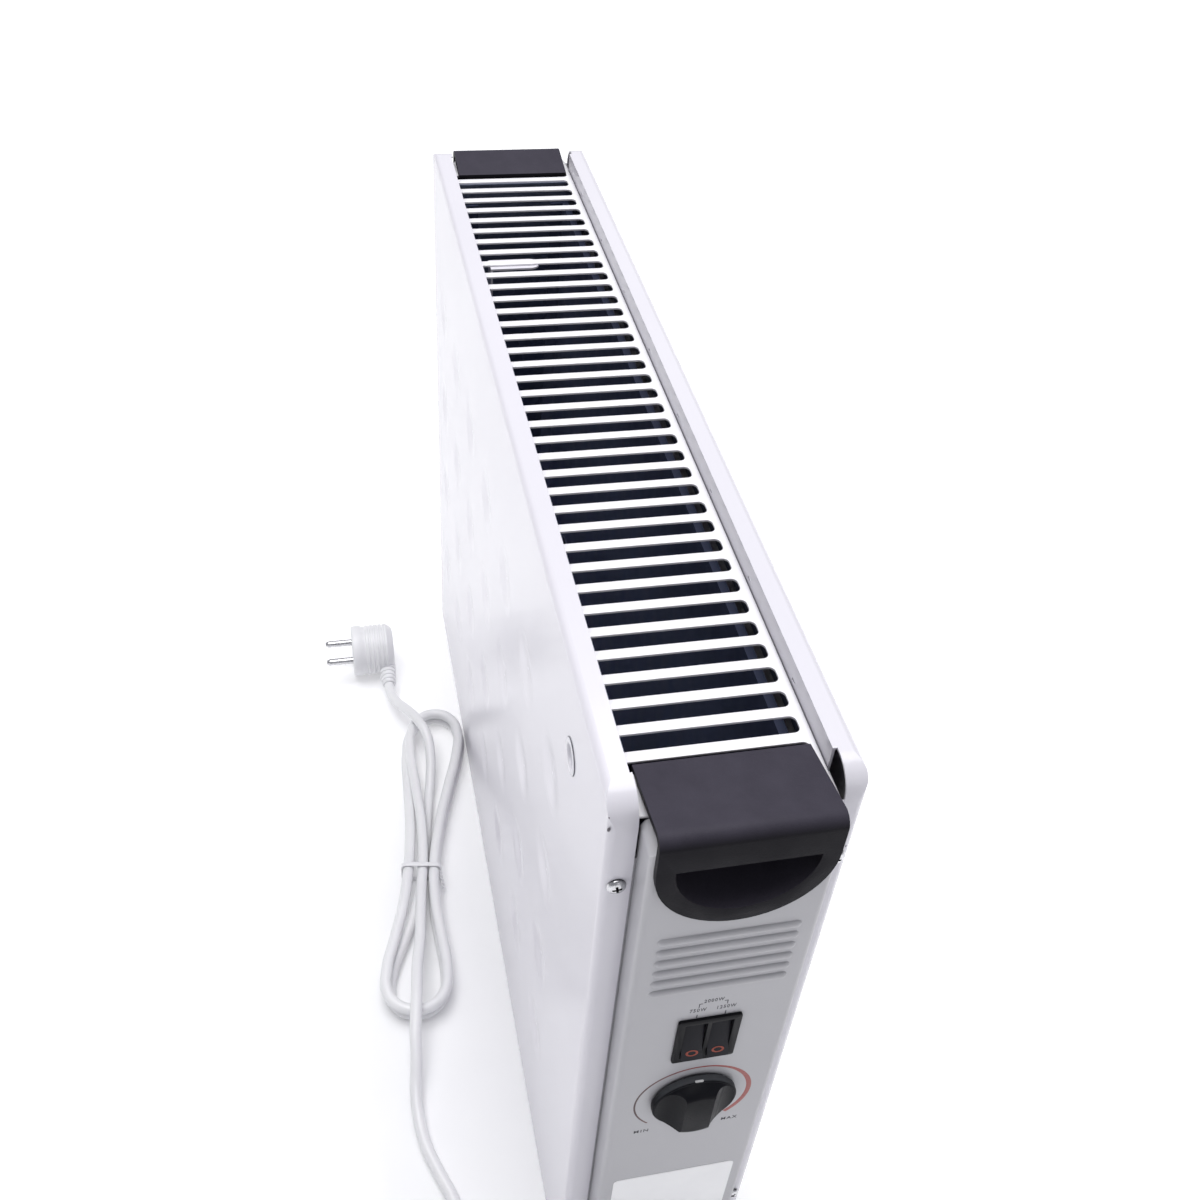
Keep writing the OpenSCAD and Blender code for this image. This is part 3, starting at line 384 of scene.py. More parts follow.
def buildFinishes():
    enamel("white_enamel", paint(0.70, 0.685, 0.735), paint(0.67, 0.655, 0.71), 0.2, 0.16,
           0.22)
    enamel("grille_enamel", paint(0.82, 0.815, 0.84), paint(0.80, 0.79, 0.82), 0.3, 0.2,
           0.25, ductShadeBelow=shadeAndInkSet["ductTop"])
    # The cover's grey enamel is darker than the panels' white; part of that darkness is
    # painted shade of the end face, and the 0.85 paints shade under its down-facing ledges
    enamel("cover_enamel", paint(0.465, 0.462, 0.484), paint(0.43, 0.427, 0.452), 0.36, 0.1,
           0.5, 0.85)
    # The last colour paints up-facing faces lighter: painted light from above, and dust
    moulding("black_moulding", paint(0.0095, 0.0088, 0.0125), paint(0.007, 0.0065, 0.009),
             0.5, 1900, 0.45, {"Specular IOR Level": 0.07}, paint(0.050, 0.046, 0.062))
    moulding("black_gloss", paint(0.0095, 0.0095, 0.0115), paint(0.0065, 0.0065, 0.0085),
             0.36, 900, 0.12, {"Specular IOR Level": 0.06})
    moulding("rockerGloss", paint(0.024, 0.024, 0.029), paint(0.018, 0.018, 0.022), 0.3,
             900, 0.12, {"Specular IOR Level": 0.08})
    # The dust colour paints the skirt's up-facing faces lighter: painted light from above, and
    # dust
    moulding("knob_moulding", paint(0.0045, 0.0045, 0.0075), paint(0.003, 0.003, 0.005),
             0.32, 1500, 0.2, {"Specular IOR Level": 0.04}, paint(0.095, 0.100, 0.108),
             shadeAndInkSet["knobFront"])
    moulding("white_moulding", paint(0.80, 0.80, 0.815), paint(0.76, 0.76, 0.78), 0.36,
             1200, 0.18)
    moulding("ceramic", paint(0.74, 0.71, 0.64), paint(0.66, 0.63, 0.56), 0.55, 700, 0.4)
    moulding("bakelite", paint(0.045, 0.032, 0.028), paint(0.03, 0.022, 0.02), 0.33, 800,
             0.2)
    moulding("beige_moulding", paint(0.58, 0.53, 0.43), paint(0.51, 0.46, 0.37), 0.42, 900,
             0.25)
    moulding("wire_sleeve", paint(0.32, 0.05, 0.035), paint(0.24, 0.035, 0.03), 0.4, 1600,
             0.3)
    moulding("cord_sleeve", paint(0.83, 0.83, 0.84), paint(0.78, 0.78, 0.80), 0.33, 420,
             0.12, {"Specular IOR Level": 0.5, "Coat Weight": 0.1})
    metal("galvanised_sheet", paint(0.34, 0.38, 0.50), paint(0.25, 0.28, 0.38), 0.4, 130)
    shadedShieldSheet("reflector_sheet")
    metal("brass", paint(0.78, 0.60, 0.30), paint(0.63, 0.46, 0.22), 0.28, scale=300)
    metal("bright_steel", paint(0.68, 0.68, 0.69), paint(0.55, 0.55, 0.57), 0.2, scale=500)
    screwZinc("screwZinc")
    heatedTube("element_steel")
    printInk("dialInk", paint(0.018, 0.018, 0.026), paint(0.05, 0.05, 0.06))
    printInk("markInk", paint(0.34, 0.06, 0.035), paint(0.22, 0.045, 0.03))
    printInk("indexInk", paint(0.74, 0.74, 0.74), paint(0.50, 0.50, 0.51))
    printInk("bareSteel", paint(0.09, 0.085, 0.10), paint(0.20, 0.19, 0.21))
    warmingInk("arcInk", paint(0.05, 0.025, 0.027), paint(0.33, 0.075, 0.065))
    labelFilm("labelFilm")
    seamedCap("capPlastic", plugCapSet["centre"], plugCapSet["seam"])
    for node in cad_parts.values():
        for place in node.material_slots:
            place.material = finishes[place.material.name.split(".")[0]]
    print("finishes made:", len(finishes))


# Shared steps for pieces made here

def ordered(shape):
    # Spin and extrude give corners and faces in a new order each run, and this sorts them
    for parts, key in ((shape.verts, lambda v: [round(c, 7) for c in v.co]),
                       (shape.edges, lambda e: sorted(v.index for v in e.verts)),
                       (shape.faces, lambda f: sorted(v.index for v in f.verts))):
        for rank, part in enumerate(sorted(parts, key=key)):
            part.index = rank
        parts.sort()
    return shape


def settle(shape, name, body, slot, nodes=(), sharp=38, finish=None):
    bmesh.ops.remove_doubles(shape, verts=shape.verts, dist=0.000002)
    bmesh.ops.recalc_face_normals(ordered(shape), faces=shape.faces)
    return keep(shape, name, body, slot, nodes, sharp, finish)


def keep(shape, name, body, slot, nodes=(), sharp=38, finish=None):
    mesh = bpy.data.meshes.new(name)
    shape.to_mesh(mesh)
    shape.free()
    mesh.shade_smooth()
    mesh.set_sharp_from_angle(angle=radians(sharp))
    mesh.materials.append(finishes[finish or slot])
    piece = bpy.data.objects.new(name, mesh)
    studio.collection.objects.link(piece)
    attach(piece, body)
    if nodes:
        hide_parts(*nodes)
    return piece


def softened(node, width, name, body, slot, segments=2, sharp=34, finish=None):
    # A moulded or punched part: the node's own shape with its edges eased
    shape = bmesh.new()
    shape.from_mesh(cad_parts[node].data)
    bmesh.ops.remove_doubles(shape, verts=shape.verts, dist=0.00001)
    bmesh.ops.dissolve_limit(shape, angle_limit=radians(1), verts=shape.verts,
                             edges=shape.edges)
    edges = [e for e in shape.edges
             if len(e.link_faces) == 2 and e.calc_face_angle(0) > radians(32)]
    bmesh.ops.bevel(shape, geom=edges, offset=width * mm, offset_type="OFFSET",
                    affect="EDGES", segments=segments, profile=0.5, material=-1,
                    clamp_overlap=True)
    return keep(shape, name, body, slot, (node,), sharp, finish)


def turned(profile, steps=48):
    # Spins (radius, height) pairs round the local Z axis
    shape = bmesh.new()
    points = [shape.verts.new((radius * mm, 0, height * mm)) for radius, height in profile]
    edges = [shape.edges.new(pair) for pair in zip(points, points[1:])]
    bmesh.ops.spin(shape, geom=points + edges, cent=(0, 0, 0), axis=(0, 0, 1), dvec=(0, 0, 0),
                   angle=2 * pi, steps=steps, use_merge=True)
    bmesh.ops.remove_doubles(shape, verts=shape.verts, dist=0.000005)
    return ordered(shape)


def placed(shape, centre, along, up=(0, 0, 1)):
    # Local Z goes along the given direction, and the shape moves to its centre
    axis = Vector(along).normalized()
    side = Vector(up).cross(axis)
    side = side.normalized() if side.length > 0.001 else Vector((1, 0, 0))
    turn = Matrix((side, axis.cross(side), axis)).transposed().to_4x4()
    shape.transform(Matrix.Translation(Vector(centre) * mm) @ turn)
    return shape


def joined(first, second):
    spare = bpy.data.meshes.new("spare")
    second.to_mesh(spare)
    second.free()
    first.from_mesh(spare)
    bpy.data.meshes.remove(spare)
    return first


def finalMesh(holder):
    # The mesh that an object's curve or modifiers make
    sight = bpy.context.evaluated_depsgraph_get()
    mesh = bpy.data.meshes.new_from_object(holder.evaluated_get(sight))
    shape = bmesh.new()
    shape.from_mesh(mesh)
    bpy.data.meshes.remove(mesh)
    return shape


def flatPrint(drawing):
    # Text or a line becomes a mesh before it takes its place
    holder = bpy.data.objects.new("drawing", drawing)
    studio.collection.objects.link(holder)
    shape = finalMesh(holder)
    bpy.data.objects.remove(holder)
    bpy.data.curves.remove(drawing)
    return shape


def carved(body, cutter):
    # Takes one closed shape out of another
    holders = []
    for shape, name in ((body, "blank"), (cutter, "tool")):
        mesh = bpy.data.meshes.new(name)
        shape.to_mesh(mesh)
        shape.free()
        holder = bpy.data.objects.new(name, mesh)
        studio.collection.objects.link(holder)
        holders.append(holder)
    cut = holders[0].modifiers.new("cut", "BOOLEAN")
    cut.operation = "DIFFERENCE"
    cut.solver = "EXACT"
    cut.use_self = True
    cut.object = holders[1]
    result = finalMesh(holders[0])
    for holder in holders:
        mesh = holder.data
        bpy.data.objects.remove(holder)
        bpy.data.meshes.remove(mesh)
    return result


# Supply cord: one smooth route from the gland through the hank to the plug

cordSet = {
    "diameter": 6.8,
    "glandTip": (295.9, -15, 24),
    "bootTip": (-166, -94, 12),
    "hankCentre": (0, -86),
    "hankTurn": -9.4,
    "low": 4.7,
    "layer": 7.4,
    "waist": 10.4,
    "step": 9,
    "swell": 33,
    "nearLobe": 103,
    "farLobe": 139,
    "perLoop": 24,
    "lead": [(311, -15, 24), (322, -17, 21), (332, -23, 16), (339, -33, 11),
             (341, -46, 7), (337, -60, 5), (328, -72, 4), (314, -81, 4), (298, -87, 4),
             (280, -89, 4), (262, -89, 4), (244, -89, 4), (226, -90, 4), (208, -94, 4),
             (192, -100, 4), (176, -105, 4), (160, -107, 5), (146, -107, 8),
             (132, -105, 14), (118, -104, 19), (104, -102, 21), (88, -100, 21),
             (72, -98, 19), (56, -95, 16), (40, -93, 14), (24, -91, 13)],
    "tail": [(-24, -83, 5), (-42, -80, 5), (-60, -77, 5), (-76, -74, 8), (-92, -72, 14),
             (-107, -73, 20), (-121, -78, 21), (-134, -84, 18), (-146, -90, 14)],
}


def hankPlace(u, v, z):
    turn = radians(cordSet["hankTurn"])
    x, y = cordSet["hankCentre"]
    return Vector((x + u * cos(turn) - v * sin(turn), y + u * sin(turn) + v * cos(turn), z))


def hankInset(angle):
    return cordSet["step"] * abs(1 - angle / 360)


def hankHeight(angle):
    t = min(max((angle - 315) / 45, 0), 1)
    return cordSet["low"] + cordSet["layer"] * t * t * (3 - 2 * t)


def hankPoint(angle):
    a = radians(angle)
    reach = cordSet["nearLobe"] if sin(a) > 0 else cordSet["farLobe"]
    out = sin(a) ** 2
    inset = hankInset(angle) * (1 - 0.7 * out)
    return hankPlace((reach - inset) * sin(a) + reach / 50 * sin(3 * a),
                     -(cordSet["waist"] + cordSet["swell"] * out - inset) * cos(a),
                     hankHeight(angle))


def hankEnd(run, angle):
    return hankPlace(run, -(cordSet["waist"] - hankInset(angle)), hankHeight(angle))


def cordRoute():
    d = cordSet["diameter"]
    gland, boot = Vector(cordSet["glandTip"]), Vector(cordSet["bootTip"])
    lead = [gland, gland + Vector((d, 0, 0))] + [Vector(p) for p in cordSet["lead"]]
    lead += [hankEnd(2 * d, 720), hankEnd(d, 720)]
    hank = [hankPoint(360 * i / cordSet["perLoop"])
            for i in range(2 * cordSet["perLoop"], -1, -1)]
    tail = [hankEnd(-d, 0), hankEnd(-2 * d, 0)] + [Vector(p) for p in cordSet["tail"]]
    tail += [boot + Vector((d, 0, 0)), boot]
    return lead + hank + tail


def buildCord():
    points = cordRoute()
    line = bpy.data.curves.new("supplyCord", "CURVE")
    line.dimensions = "3D"
    line.bevel_depth = cordSet["diameter"] / 2 * mm
    line.bevel_resolution = 6
    line.resolution_u = 6
    line.use_fill_caps = True
    spline = line.splines.new("BEZIER")
    spline.bezier_points.add(len(points) - 1)
    for knot, point in zip(spline.bezier_points, points):
        knot.co = point * mm
        knot.handle_left_type = knot.handle_right_type = "AUTO"
    cord = bpy.data.objects.new("supplyCord", line)
    studio.collection.objects.link(cord)
    line.materials.append(finishes["cord_sleeve"])
    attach(cord, "casing")
    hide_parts("cord_lead", "cord_hank", "cord_tail")


plugSet = {
    "centre": (-198, -103, 18.5),
    "radius": 18.5,
    "half": 15,
    "gripRings": 5,
    "gripFrom": 4,
    "gripPitch": 3.4,
    "bootRings": 4,
    "bootFrom": 1.6,
    "bootPitch": 3.6,
}


def buildPlug():
    r, half = plugSet["radius"], plugSet["half"]
    profile = [(0, -half), (r - 6, -half), (r - 3.6, -half + 0.5), (r - 2.2, -half + 1.8)]
    for i in range(plugSet["gripRings"]):
        z = -half + plugSet["gripFrom"] + i * plugSet["gripPitch"]
        profile += [(r - 0.9, z), (r - 0.1, z + 0.5), (r - 0.1, z + 2.0), (r - 0.9, z + 2.5)]
    profile += [(r - 0.6, half - 7.2), (r, half - 6.6), (r, half - 1.2), (r - 0.4, half - 0.4),
                (r - 1.2, half), (r - 3.2, half), (r - 3.6, half - 0.8), (0, half - 0.8)]
    body = placed(turned(profile, 64), plugSet["centre"], (0, -1, 0))
    boot = [(0, 0), (4.3, 0), (4.7, 0.5)]
    for i in range(plugSet["bootRings"]):
        z = plugSet["bootFrom"] + i * plugSet["bootPitch"]
        wide = 4.75 + 0.09 * (z + 1)  # the boot widens towards the plug
        boot += [(wide, z), (wide - 0.75, z + 0.35), (wide - 0.7, z + 1.4),
                 (wide + 0.15, z + 1.8)]
    boot += [(6.3, 17), (6.5, 20), (0, 20)]
    strain = placed(turned(boot, 40), cordSet["bootTip"], (-1, 0, 0))
    return settle(joined(body, strain), "plugShell", "casing", "white_moulding",
                  ("plug_body",), sharp=50)


glandSet = {
    "seat": (265.9, -15, 24),
    "length": 30,
    "rings": 6,
    "ringFrom": 5.2,
    "ringPitch": 3.9,
}


def buildGland():
    tip = glandSet["length"]
    profile = [(0, -1), (6, -1), (6, 0), (8.1, 0), (8.5, 0.4), (8.5, 2.0), (8.0, 2.6),
               (6.6, 3.2), (6.3, 3.9)]
    for i in range(glandSet["rings"]):
        z = glandSet["ringFrom"] + i * glandSet["ringPitch"]
        wide = 6.15 - 0.055 * z  # the sleeve narrows towards its tip
        profile += [(wide, z), (wide - 0.85, z + 0.4), (wide - 0.9, z + 1.7),
                    (wide - 0.1, z + 2.1)]
    profile += [(4.45, tip - 0.9), (4.15, tip), (3.5, tip), (3.45, tip - 1.5), (0, tip - 1.5)]
    shape = placed(turned(profile, 48), glandSet["seat"], (1, 0, 0))
    return settle(shape, "cordGland", "casing", "white_moulding", ("cord_gland",), sharp=50)


# Twist tie round the hank: its flat band, with two wires twisted to a short tail

tieSet = {
    "root": (1.0, 9.4, 12.0),
    "tip": (11.0, 12.6, 5.6),
    "strand": 0.55,
    "twist": 0.62,
    "turns": 2.5,
    "steps": 30,
}


def buildTie():
    band = softened("hank_tie", 0.25, "hankTwistTie", "casing", "white_moulding")
    line = bpy.data.curves.new("tieTail", "CURVE")
    line.dimensions = "3D"
    line.bevel_depth = tieSet["strand"]
    line.bevel_resolution = 3
    line.use_fill_caps = True
    root, tip = Vector(tieSet["root"]), Vector(tieSet["tip"])
    side = (tip - root).cross(Vector((0, 0, 1))).normalized()
    lift = side.cross(tip - root).normalized()
    for start in (0, pi):
        spline = line.splines.new("POLY")
        spline.points.add(tieSet["steps"] - 1)
        for i, knot in enumerate(spline.points):
            t = i / (tieSet["steps"] - 1)
            angle = start + 2 * pi * tieSet["turns"] * t
            offset = (side * cos(angle) + lift * sin(angle)) * tieSet["twist"]
            knot.co = (*hankPlace(*(root.lerp(tip, t) + offset)), 1)
    tail = flatPrint(line)
    tail.transform(Matrix.Scale(mm, 4))
    whole = bmesh.new()
    whole.from_mesh(band.data)
    joined(whole, tail).to_mesh(band.data)
    whole.free()


# Screws: pan heads with a cross recess, through the panels' end flanges

screwSet = {
    "profile": [(0, -8), (1.75, -8), (1.75, 0), (3.5, 0), (3.5, 0.55), (3.35, 1.05),
                (2.9, 1.55), (2.1, 1.95), (1.1, 2.17), (0, 2.2)],
    "face": 253,
    "y": 40.1,
    "heights": (59.5, 336.4),
    "crown": 2.2,
    "bladeLength": 2.75,
    "bladeTip": 0.9,
    "bladeSpread": 1.15,
    "bladeWidth": 0.3,
    "bladeLift": 0.6,
    "recessDepth": 1.9,
    "firstTurn": 23,  # no two heads stop at the same angle
    "nextTurn": 31,
}


def buildScrews():
    head = turned(screwSet["profile"], 32)
    bmesh.ops.recalc_face_normals(head, faces=head.faces)
    blades = bmesh.new()
    for angle in (45, 135):
        blade = bmesh.new()
        depth = screwSet["recessDepth"] + screwSet["bladeLift"]
        bmesh.ops.create_cone(blade, cap_ends=True, segments=4,
                              radius1=screwSet["bladeTip"],
                              radius2=screwSet["bladeLength"], depth=depth)
        blade.transform(Matrix.Rotation(radians(45), 4, "Z"))
        blade.transform(Matrix.Diagonal((screwSet["bladeSpread"], screwSet["bladeWidth"], 1,
                                         1)))
        blade.transform(Matrix.Rotation(radians(angle), 4, "Z"))
        lift = screwSet["crown"] + screwSet["bladeLift"] - depth / 2
        blade.transform(Matrix.Translation((0, 0, lift)))
        joined(blades, blade)
    blades.transform(Matrix.Scale(mm, 4))
    recessed = carved(head, blades)
    screws = bmesh.new()
    for end in (1, -1):
        for i, (side, z) in enumerate((s, z) for s in (-1, 1) for z in screwSet["heights"]):
            one = recessed.copy()
            turn = screwSet["firstTurn"] + screwSet["nextTurn"] * i * end
            one.transform(Matrix.Rotation(radians(turn), 4, "Z"))
            joined(screws, placed(one, (end * screwSet["face"], side * screwSet["y"], z),
                                  (end, 0, 0)))
    recessed.free()
    keep(screws, "panHeadScrews", "casing", "bright_steel", ("end_screws",), 32, "screwZinc")


# Cap in the front panel's round hole

plugCapSet = {
    "centre": (197, -45.5, 340.7),
    # radius beyond which the cap is painted dark as the shadow of its gap
    "seam": 7.35,
    "profile": [(0, -2.4), (6.6, -2.4), (6.9, -1.8), (6.9, 0), (7.6, 0), (7.62, 0.12),
                (7.4, 0.28), (6.4, 0.42), (5.4, 0.45), (5.1, 0.38), (4.95, 0.15),
                (4.9, -0.9), (4.6, -1.0), (0, -1.0)],
}


def buildHoleCap():
    shape = placed(turned(plugCapSet["profile"], 64), plugCapSet["centre"], (0, -1, 0))
    settle(shape, "panelHoleCap", "casing", "white_moulding", ("hole_plug",), 40, "capPlastic")


# Small chips in the enamel at the folded corners, down to bare steel

chipSet = [
    # place, size along x, y and z
    ((252.6, -44.9, 367.7), (0.8, 1.2, 2.2)),
    ((251.4, -44.9, 372.6), (1.2, 0.5, 0.6)),
    ((237.7, 45.3, 364.8), (1.3, 0.35, 0.8)),
    ((245.1, 45.2, 372.6), (0.9, 0.5, 0.7)),
    ((252.9, 43.2, 341.0), (0.35, 0.6, 1.3)),
]


def buildChips():
    chips = bmesh.new()
    for place, size in chipSet:
        chip = bmesh.new()
        bmesh.ops.create_icosphere(chip, subdivisions=2, radius=0.5)
        chip.transform(Matrix.Diagonal((*size, 1)))
        chip.transform(Matrix.Scale(mm, 4) @ Matrix.Translation(place))
        joined(chips, chip)
    keep(chips, "enamelChips", "casing", "white_enamel", finish="bareSteel")


# Prints on the control cover: words, switch ticks, the temperature arc and a blank label

coverFace = 265.9
inkThickness = 0.05

wordSet = {
    # word: middle y, foot z, width, cap height
    "750W": (-5.7, 265.4, 6.6, 2.35),
    "1250W": (5.7, 265.3, 7.6, 2.3),
    "2000W": (0.0, 271.2, 7.9, 2.3),
    "MIN": (-19.6, 172.0, 6.3, 2.3),
    "MAX": (19.6, 170.5, 7.1, 2.35),
}

tickSet = {
    # middle y, middle z, width, height
    "leftTick": (-5.7, 262.2, 0.42, 2.2),
    "rightTick": (5.7, 262.2, 0.42, 2.2),
    "leftPost": (-5.6, 269.6, 0.36, 2.4),
    "rightPost": (5.6, 269.6, 0.36, 2.4),
    "leftArm": (-5.0, 270.8, 1.5, 0.36),
    "rightArm": (5.0, 270.8, 1.5, 0.36),
}

arcSet = {
    "centre": (0, 196.9),
    "radius": 24.5,
    "fromAngle": 224,
    "toAngle": -48,
    "points": 60,
    "thin": 0.75,
    "middle": 1.0,
    "thick": 2.2,
}

labelSet = {"middle": (0, 99), "width": 56, "height": 57.5, "corner": 2.5, "thickness": 0.15}


def onCover(shape, y, z):
    # Drawn flat, then stood on the cover: right becomes +Y, up becomes +Z
    turn = Matrix(((0, 0, mm, coverFace * mm), (mm, 0, 0, y * mm), (0, mm, 0, z * mm),
                   (0, 0, 0, 1)))
    shape.transform(turn)
    return shape


def buildWords():
    words = bmesh.new()
    for word, (y, z, width, height) in wordSet.items():
        drawing = bpy.data.curves.new(word, "FONT")
        drawing.body = word
        drawing.space_character = 1.28
        drawing.offset = 0.014
        drawing.extrude = inkThickness
        drawing.resolution_u = 3
        letters = flatPrint(drawing)
        xs = [v.co.x for v in letters.verts]
        ys = [v.co.y for v in letters.verts]
        letters.transform(Matrix.Translation((-(min(xs) + max(xs)) / 2, -min(ys), 0)))
        letters.transform(Matrix.Diagonal((width / (max(xs) - min(xs)),
                                           height / (max(ys) - min(ys)), 1, 1)))
        joined(words, onCover(letters, y, z))
    for y, z, width, height in tickSet.values():
        tick = bmesh.new()
        bmesh.ops.create_cube(tick, size=1)
        tick.transform(Matrix.Diagonal((width, height, 2 * inkThickness, 1)))
        joined(words, onCover(tick, y, z))
    keep(words, "coverLettering", "casing", "cover_enamel", sharp=30, finish="dialInk")


def arcWidth(t):
    swell = min(max((t - 0.5) / 0.3, 0), 1)
    return (arcSet["thin"] + (arcSet["middle"] - arcSet["thin"]) * min(t / 0.5, 1)
            + (arcSet["thick"] - arcSet["middle"]) * swell * swell * (3 - 2 * swell))


def buildArc():
    line = bpy.data.curves.new("temperatureArc", "CURVE")
    line.dimensions = "3D"
    line.bevel_depth = 0.5
    line.bevel_resolution = 3
    line.use_fill_caps = True
    spline = line.splines.new("POLY")
    spline.points.add(arcSet["points"] - 1)
    for i, knot in enumerate(spline.points):
        t = i / (arcSet["points"] - 1)
        angle = radians(arcSet["fromAngle"] + (arcSet["toAngle"] - arcSet["fromAngle"]) * t)
        knot.co = (arcSet["radius"] * cos(angle), arcSet["radius"] * sin(angle), 0, 1)
        knot.radius = arcWidth(t)
    arc = flatPrint(line)
    arc.transform(Matrix.Diagonal((1, 1, 0.06, 1)))
    keep(onCover(arc, *arcSet["centre"]), "temperatureArc", "casing", "cover_enamel",
         sharp=60, finish="arcInk")


def buildLabel():
    sheet = bmesh.new()
    bmesh.ops.create_grid(sheet, x_segments=1, y_segments=1, size=0.5)
    sheet.transform(Matrix.Diagonal((labelSet["width"], labelSet["height"], 1, 1)))
    bmesh.ops.bevel(sheet, geom=sheet.verts[:], offset=labelSet["corner"], affect="VERTICES",
                    segments=6, profile=0.5, material=-1)
    grown = bmesh.ops.extrude_face_region(sheet, geom=sheet.faces[:])["geom"]
    bmesh.ops.translate(sheet, vec=(0, 0, labelSet["thickness"]),
                        verts=[v for v in grown if isinstance(v, bmesh.types.BMVert)])
    settle(onCover(sheet, *labelSet["middle"]), "blankLabel", "casing", "cover_enamel",
           finish="labelFilm")


# Controls: rockers with their printed rings, and the thermostat knob with its index

ringSet = {
    "place": (267.83, 5.3, 237.7),
    "tilt": 25,
    "width": 5.2,
    "height": 2.7,
    "line": 0.5,
}

indexSet = {
    "place": (269.42, 0, 216.62),
    "tilt": 45,
    "width": 3.6,
    "height": 0.9,
    "corner": 0.45,
    "depth": 0.4,
}

knobSet = {
    "seat": (266.6, 0, 198.8),
    "plate": [(0, 0), (17.6, 0), (18, 0.4), (18, 2.3), (17.9, 2.6), (17.6, 2.9), (17.2, 3.0),
              (0, 3.0)],
    "grip": [(0, 2.4), (17.0, 2.4), (16.9, 3.2), (15.9, 6.6), (15.3, 7.7), (14.2, 8.4),
             (12.8, 8.6), (0, 8.6)],
    "scoopRadius": 11,
    "scoopAcross": 15.5,
    "scoopHeight": 14.1,
    "softFrom": 4,  # edges above this height are eased
    "softEdge": 1.2,
}


def buildRockers():
    for side, node, body in ((-1, "rocker_750", "rocker_left"),
                             (1, "rocker_1250", "rocker_right")):
        name = body.replace("rocker_", "") + "Rocker"
        softened(node, 0.35, name, body, "black_gloss", finish="rockerGloss")
        inner = 1 - ringSet["line"] / ringSet["height"] * 2
        ring = turned([(inner, -0.05), (1, -0.05), (1, 0.05), (inner, 0.05), (inner, -0.05)])
        ring.transform(Matrix.Diagonal((ringSet["width"] / 2, ringSet["height"] / 2, 1, 1)))
        tilt = radians(ringSet["tilt"])
        x, y, z = ringSet["place"]
        settle(placed(ring, (x, side * y, z), (cos(tilt), 0, sin(tilt))), name + "Ring", body,
               "black_gloss", finish="markInk")


def buildKnob():
    grip = turned(knobSet["grip"], 72)
    bmesh.ops.recalc_face_normals(grip, faces=grip.faces)
    scoops = bmesh.new()
    reach = knobSet["scoopRadius"]
    for side in (-1, 1):
        scoop = bmesh.new()
        bmesh.ops.create_cone(scoop, cap_ends=True, segments=96, radius1=reach, radius2=reach,
                              depth=44)
        scoop.transform(Matrix.Rotation(radians(90), 4, "X"))
        scoop.transform(Matrix.Translation((side * knobSet["scoopAcross"], 0,
                                            knobSet["scoopHeight"])))
        joined(scoops, scoop)
    scoops.transform(Matrix.Scale(mm, 4))
    grip = carved(grip, scoops)
    bmesh.ops.dissolve_limit(grip, angle_limit=radians(1), verts=grip.verts, edges=grip.edges)
    rims = [e for e in grip.edges
            if len(e.link_faces) == 2 and e.calc_face_angle(0) > radians(40)
            and e.verts[0].co.z > knobSet["softFrom"] * mm]
    bmesh.ops.bevel(grip, geom=rims, offset=knobSet["softEdge"] * mm, offset_type="OFFSET",
                    affect="EDGES", segments=4, profile=0.5, material=-1, clamp_overlap=True)
    knob = placed(joined(turned(knobSet["plate"], 96), grip), knobSet["seat"], (1, 0, 0))
    keep(knob, "thermostatKnob", "knob", "knob_moulding", ("thermostat_knob",), 42)
    mark = bmesh.new()
    bmesh.ops.create_grid(mark, x_segments=1, y_segments=1, size=0.5 * mm)
    mark.transform(Matrix.Diagonal((indexSet["width"], indexSet["height"], 1, 1)))
    bmesh.ops.bevel(mark, geom=mark.verts[:], offset=indexSet["corner"] * mm,
                    affect="VERTICES", segments=4, profile=0.5, material=-1)
    grown = bmesh.ops.extrude_face_region(mark, geom=mark.faces[:])["geom"]
    bmesh.ops.translate(mark, vec=(0, 0, -indexSet["depth"] * mm),
                        verts=[v for v in grown if isinstance(v, bmesh.types.BMVert)])
    tilt = radians(indexSet["tilt"])
    settle(placed(mark, indexSet["place"], (cos(tilt), 0, sin(tilt))), "knobIndex", "knob",
           "white_moulding", finish="indexInk")


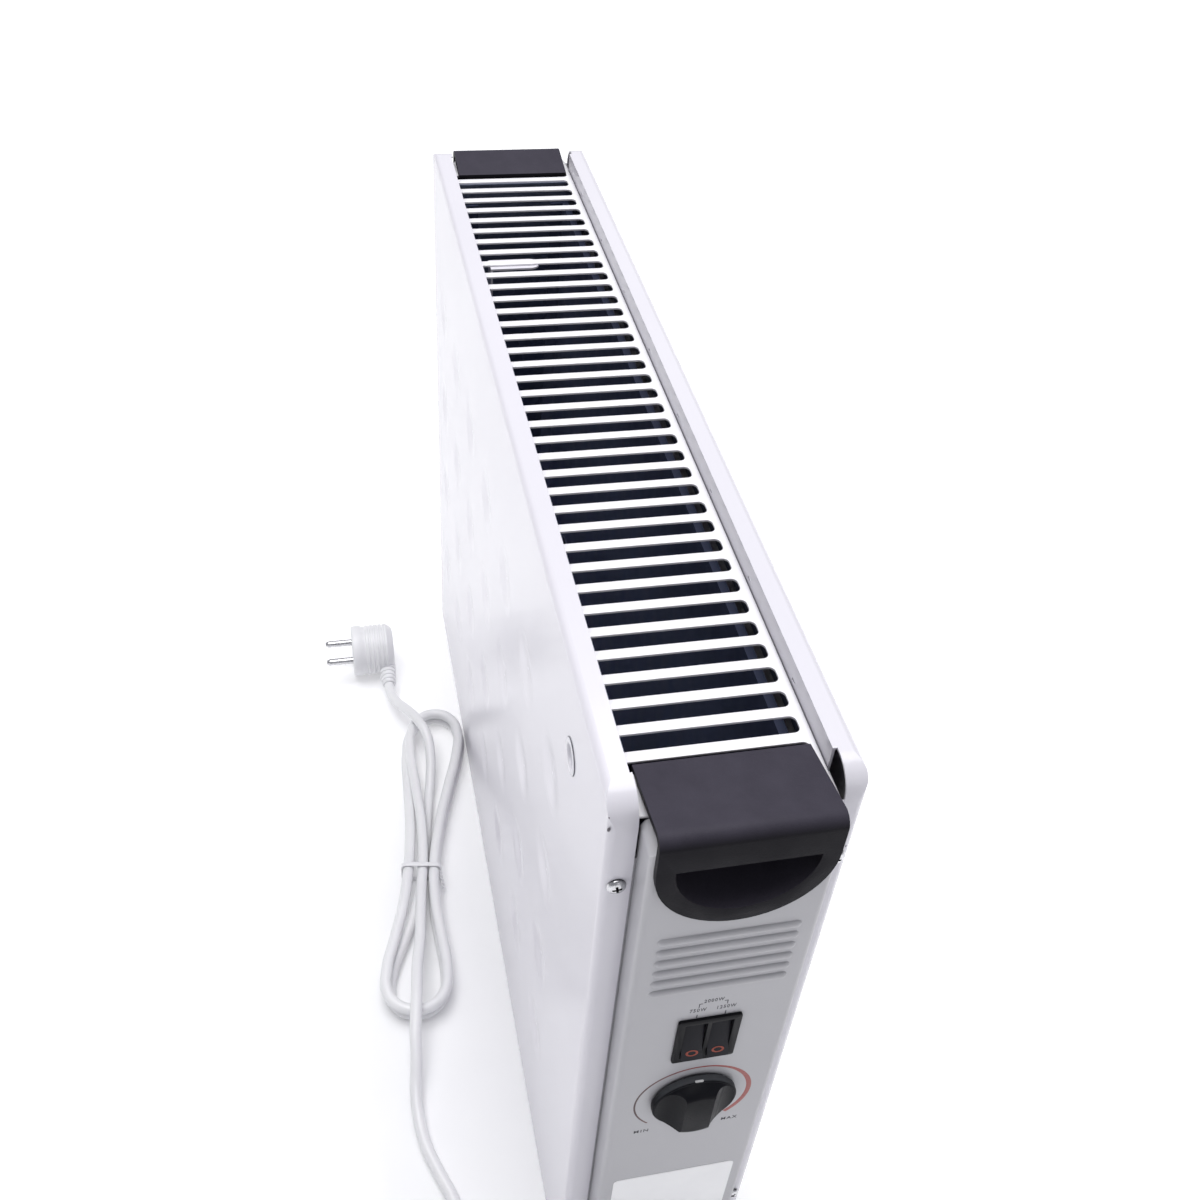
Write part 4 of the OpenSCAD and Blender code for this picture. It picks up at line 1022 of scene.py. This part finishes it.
buildCamera()
buildLights()
buildFinishes()
plug = buildPlug()
buildGland()
buildCord()
buildTie()
print("cord, plug, gland and tie made")

softened("control_end_handle", 0.4, "controlHandle", "casing", "black_moulding", 3)
softened("far_end_handle", 0.4, "farHandle", "casing", "black_moulding", 3)
softened("top_grille", 0.3, "slottedGrille", "casing", "grille_enamel", 2)
softened("switch_housing", 0.4, "switchBezel", "casing", "black_gloss")
buildScrews()
buildHoleCap()
buildChips()
print("casing fittings made")
buildRockers()
buildKnob()
buildWords()
buildArc()
buildLabel()
print("controls and prints made")


# Floor

floorSet = {
    "half": 30,
    "shadeCentre": (0.14, -0.085),
    "shadeReach": (0.30, 0.11),
    "nearGlow": (0.4, 1.5),  # the glow grows between these reaches, then again further out
    "farGlow": (2, 9),
    "dim": 0.09,
    "bright": 0.55,
}


def buildFloor():
    # The table glows with painted light: dim round the heater, leaving a painted soft grey
    # shadow there, and brighter further out
    coat = Coat("tableTop", {"Specular IOR Level": 0.35, "Emission Strength": 1.0})
    grain = coat.noise(9, 5, 0.6)
    coat.feed("Base Color", coat.colours(coat.spread(grain, 0, 1), paint(0.86, 0.86, 0.87),
                                         paint(0.84, 0.84, 0.855)))
    (wide, deep), (x, y) = floorSet["shadeReach"], floorSet["shadeCentre"]
    offset = coat.stretched((1 / wide, 1 / deep, 0), (-x / wide, -y / deep, 0))
    reach = coat.length(offset)
    glow = (coat.spread(reach, 0, 0.5, *floorSet["nearGlow"])
            + coat.spread(reach, 0, 0.5, *floorSet["farGlow"]))
    coat.feed("Emission Color", coat.colours(glow, paint(*[floorSet["dim"]] * 3),
                                             paint(*[floorSet["bright"]] * 3)))
    coat.feed("Roughness", coat.spread(coat.noise(40), 0.5, 0.65))
    shape = bmesh.new()
    bmesh.ops.create_grid(shape, x_segments=2, y_segments=2, size=floorSet["half"])
    mesh = bpy.data.meshes.new("tableTop")
    shape.to_mesh(mesh)
    shape.free()
    mesh.materials.append(coat.material)
    floor = bpy.data.objects.new("tableTop", mesh)
    studio.collection.objects.link(floor)


buildFloor()
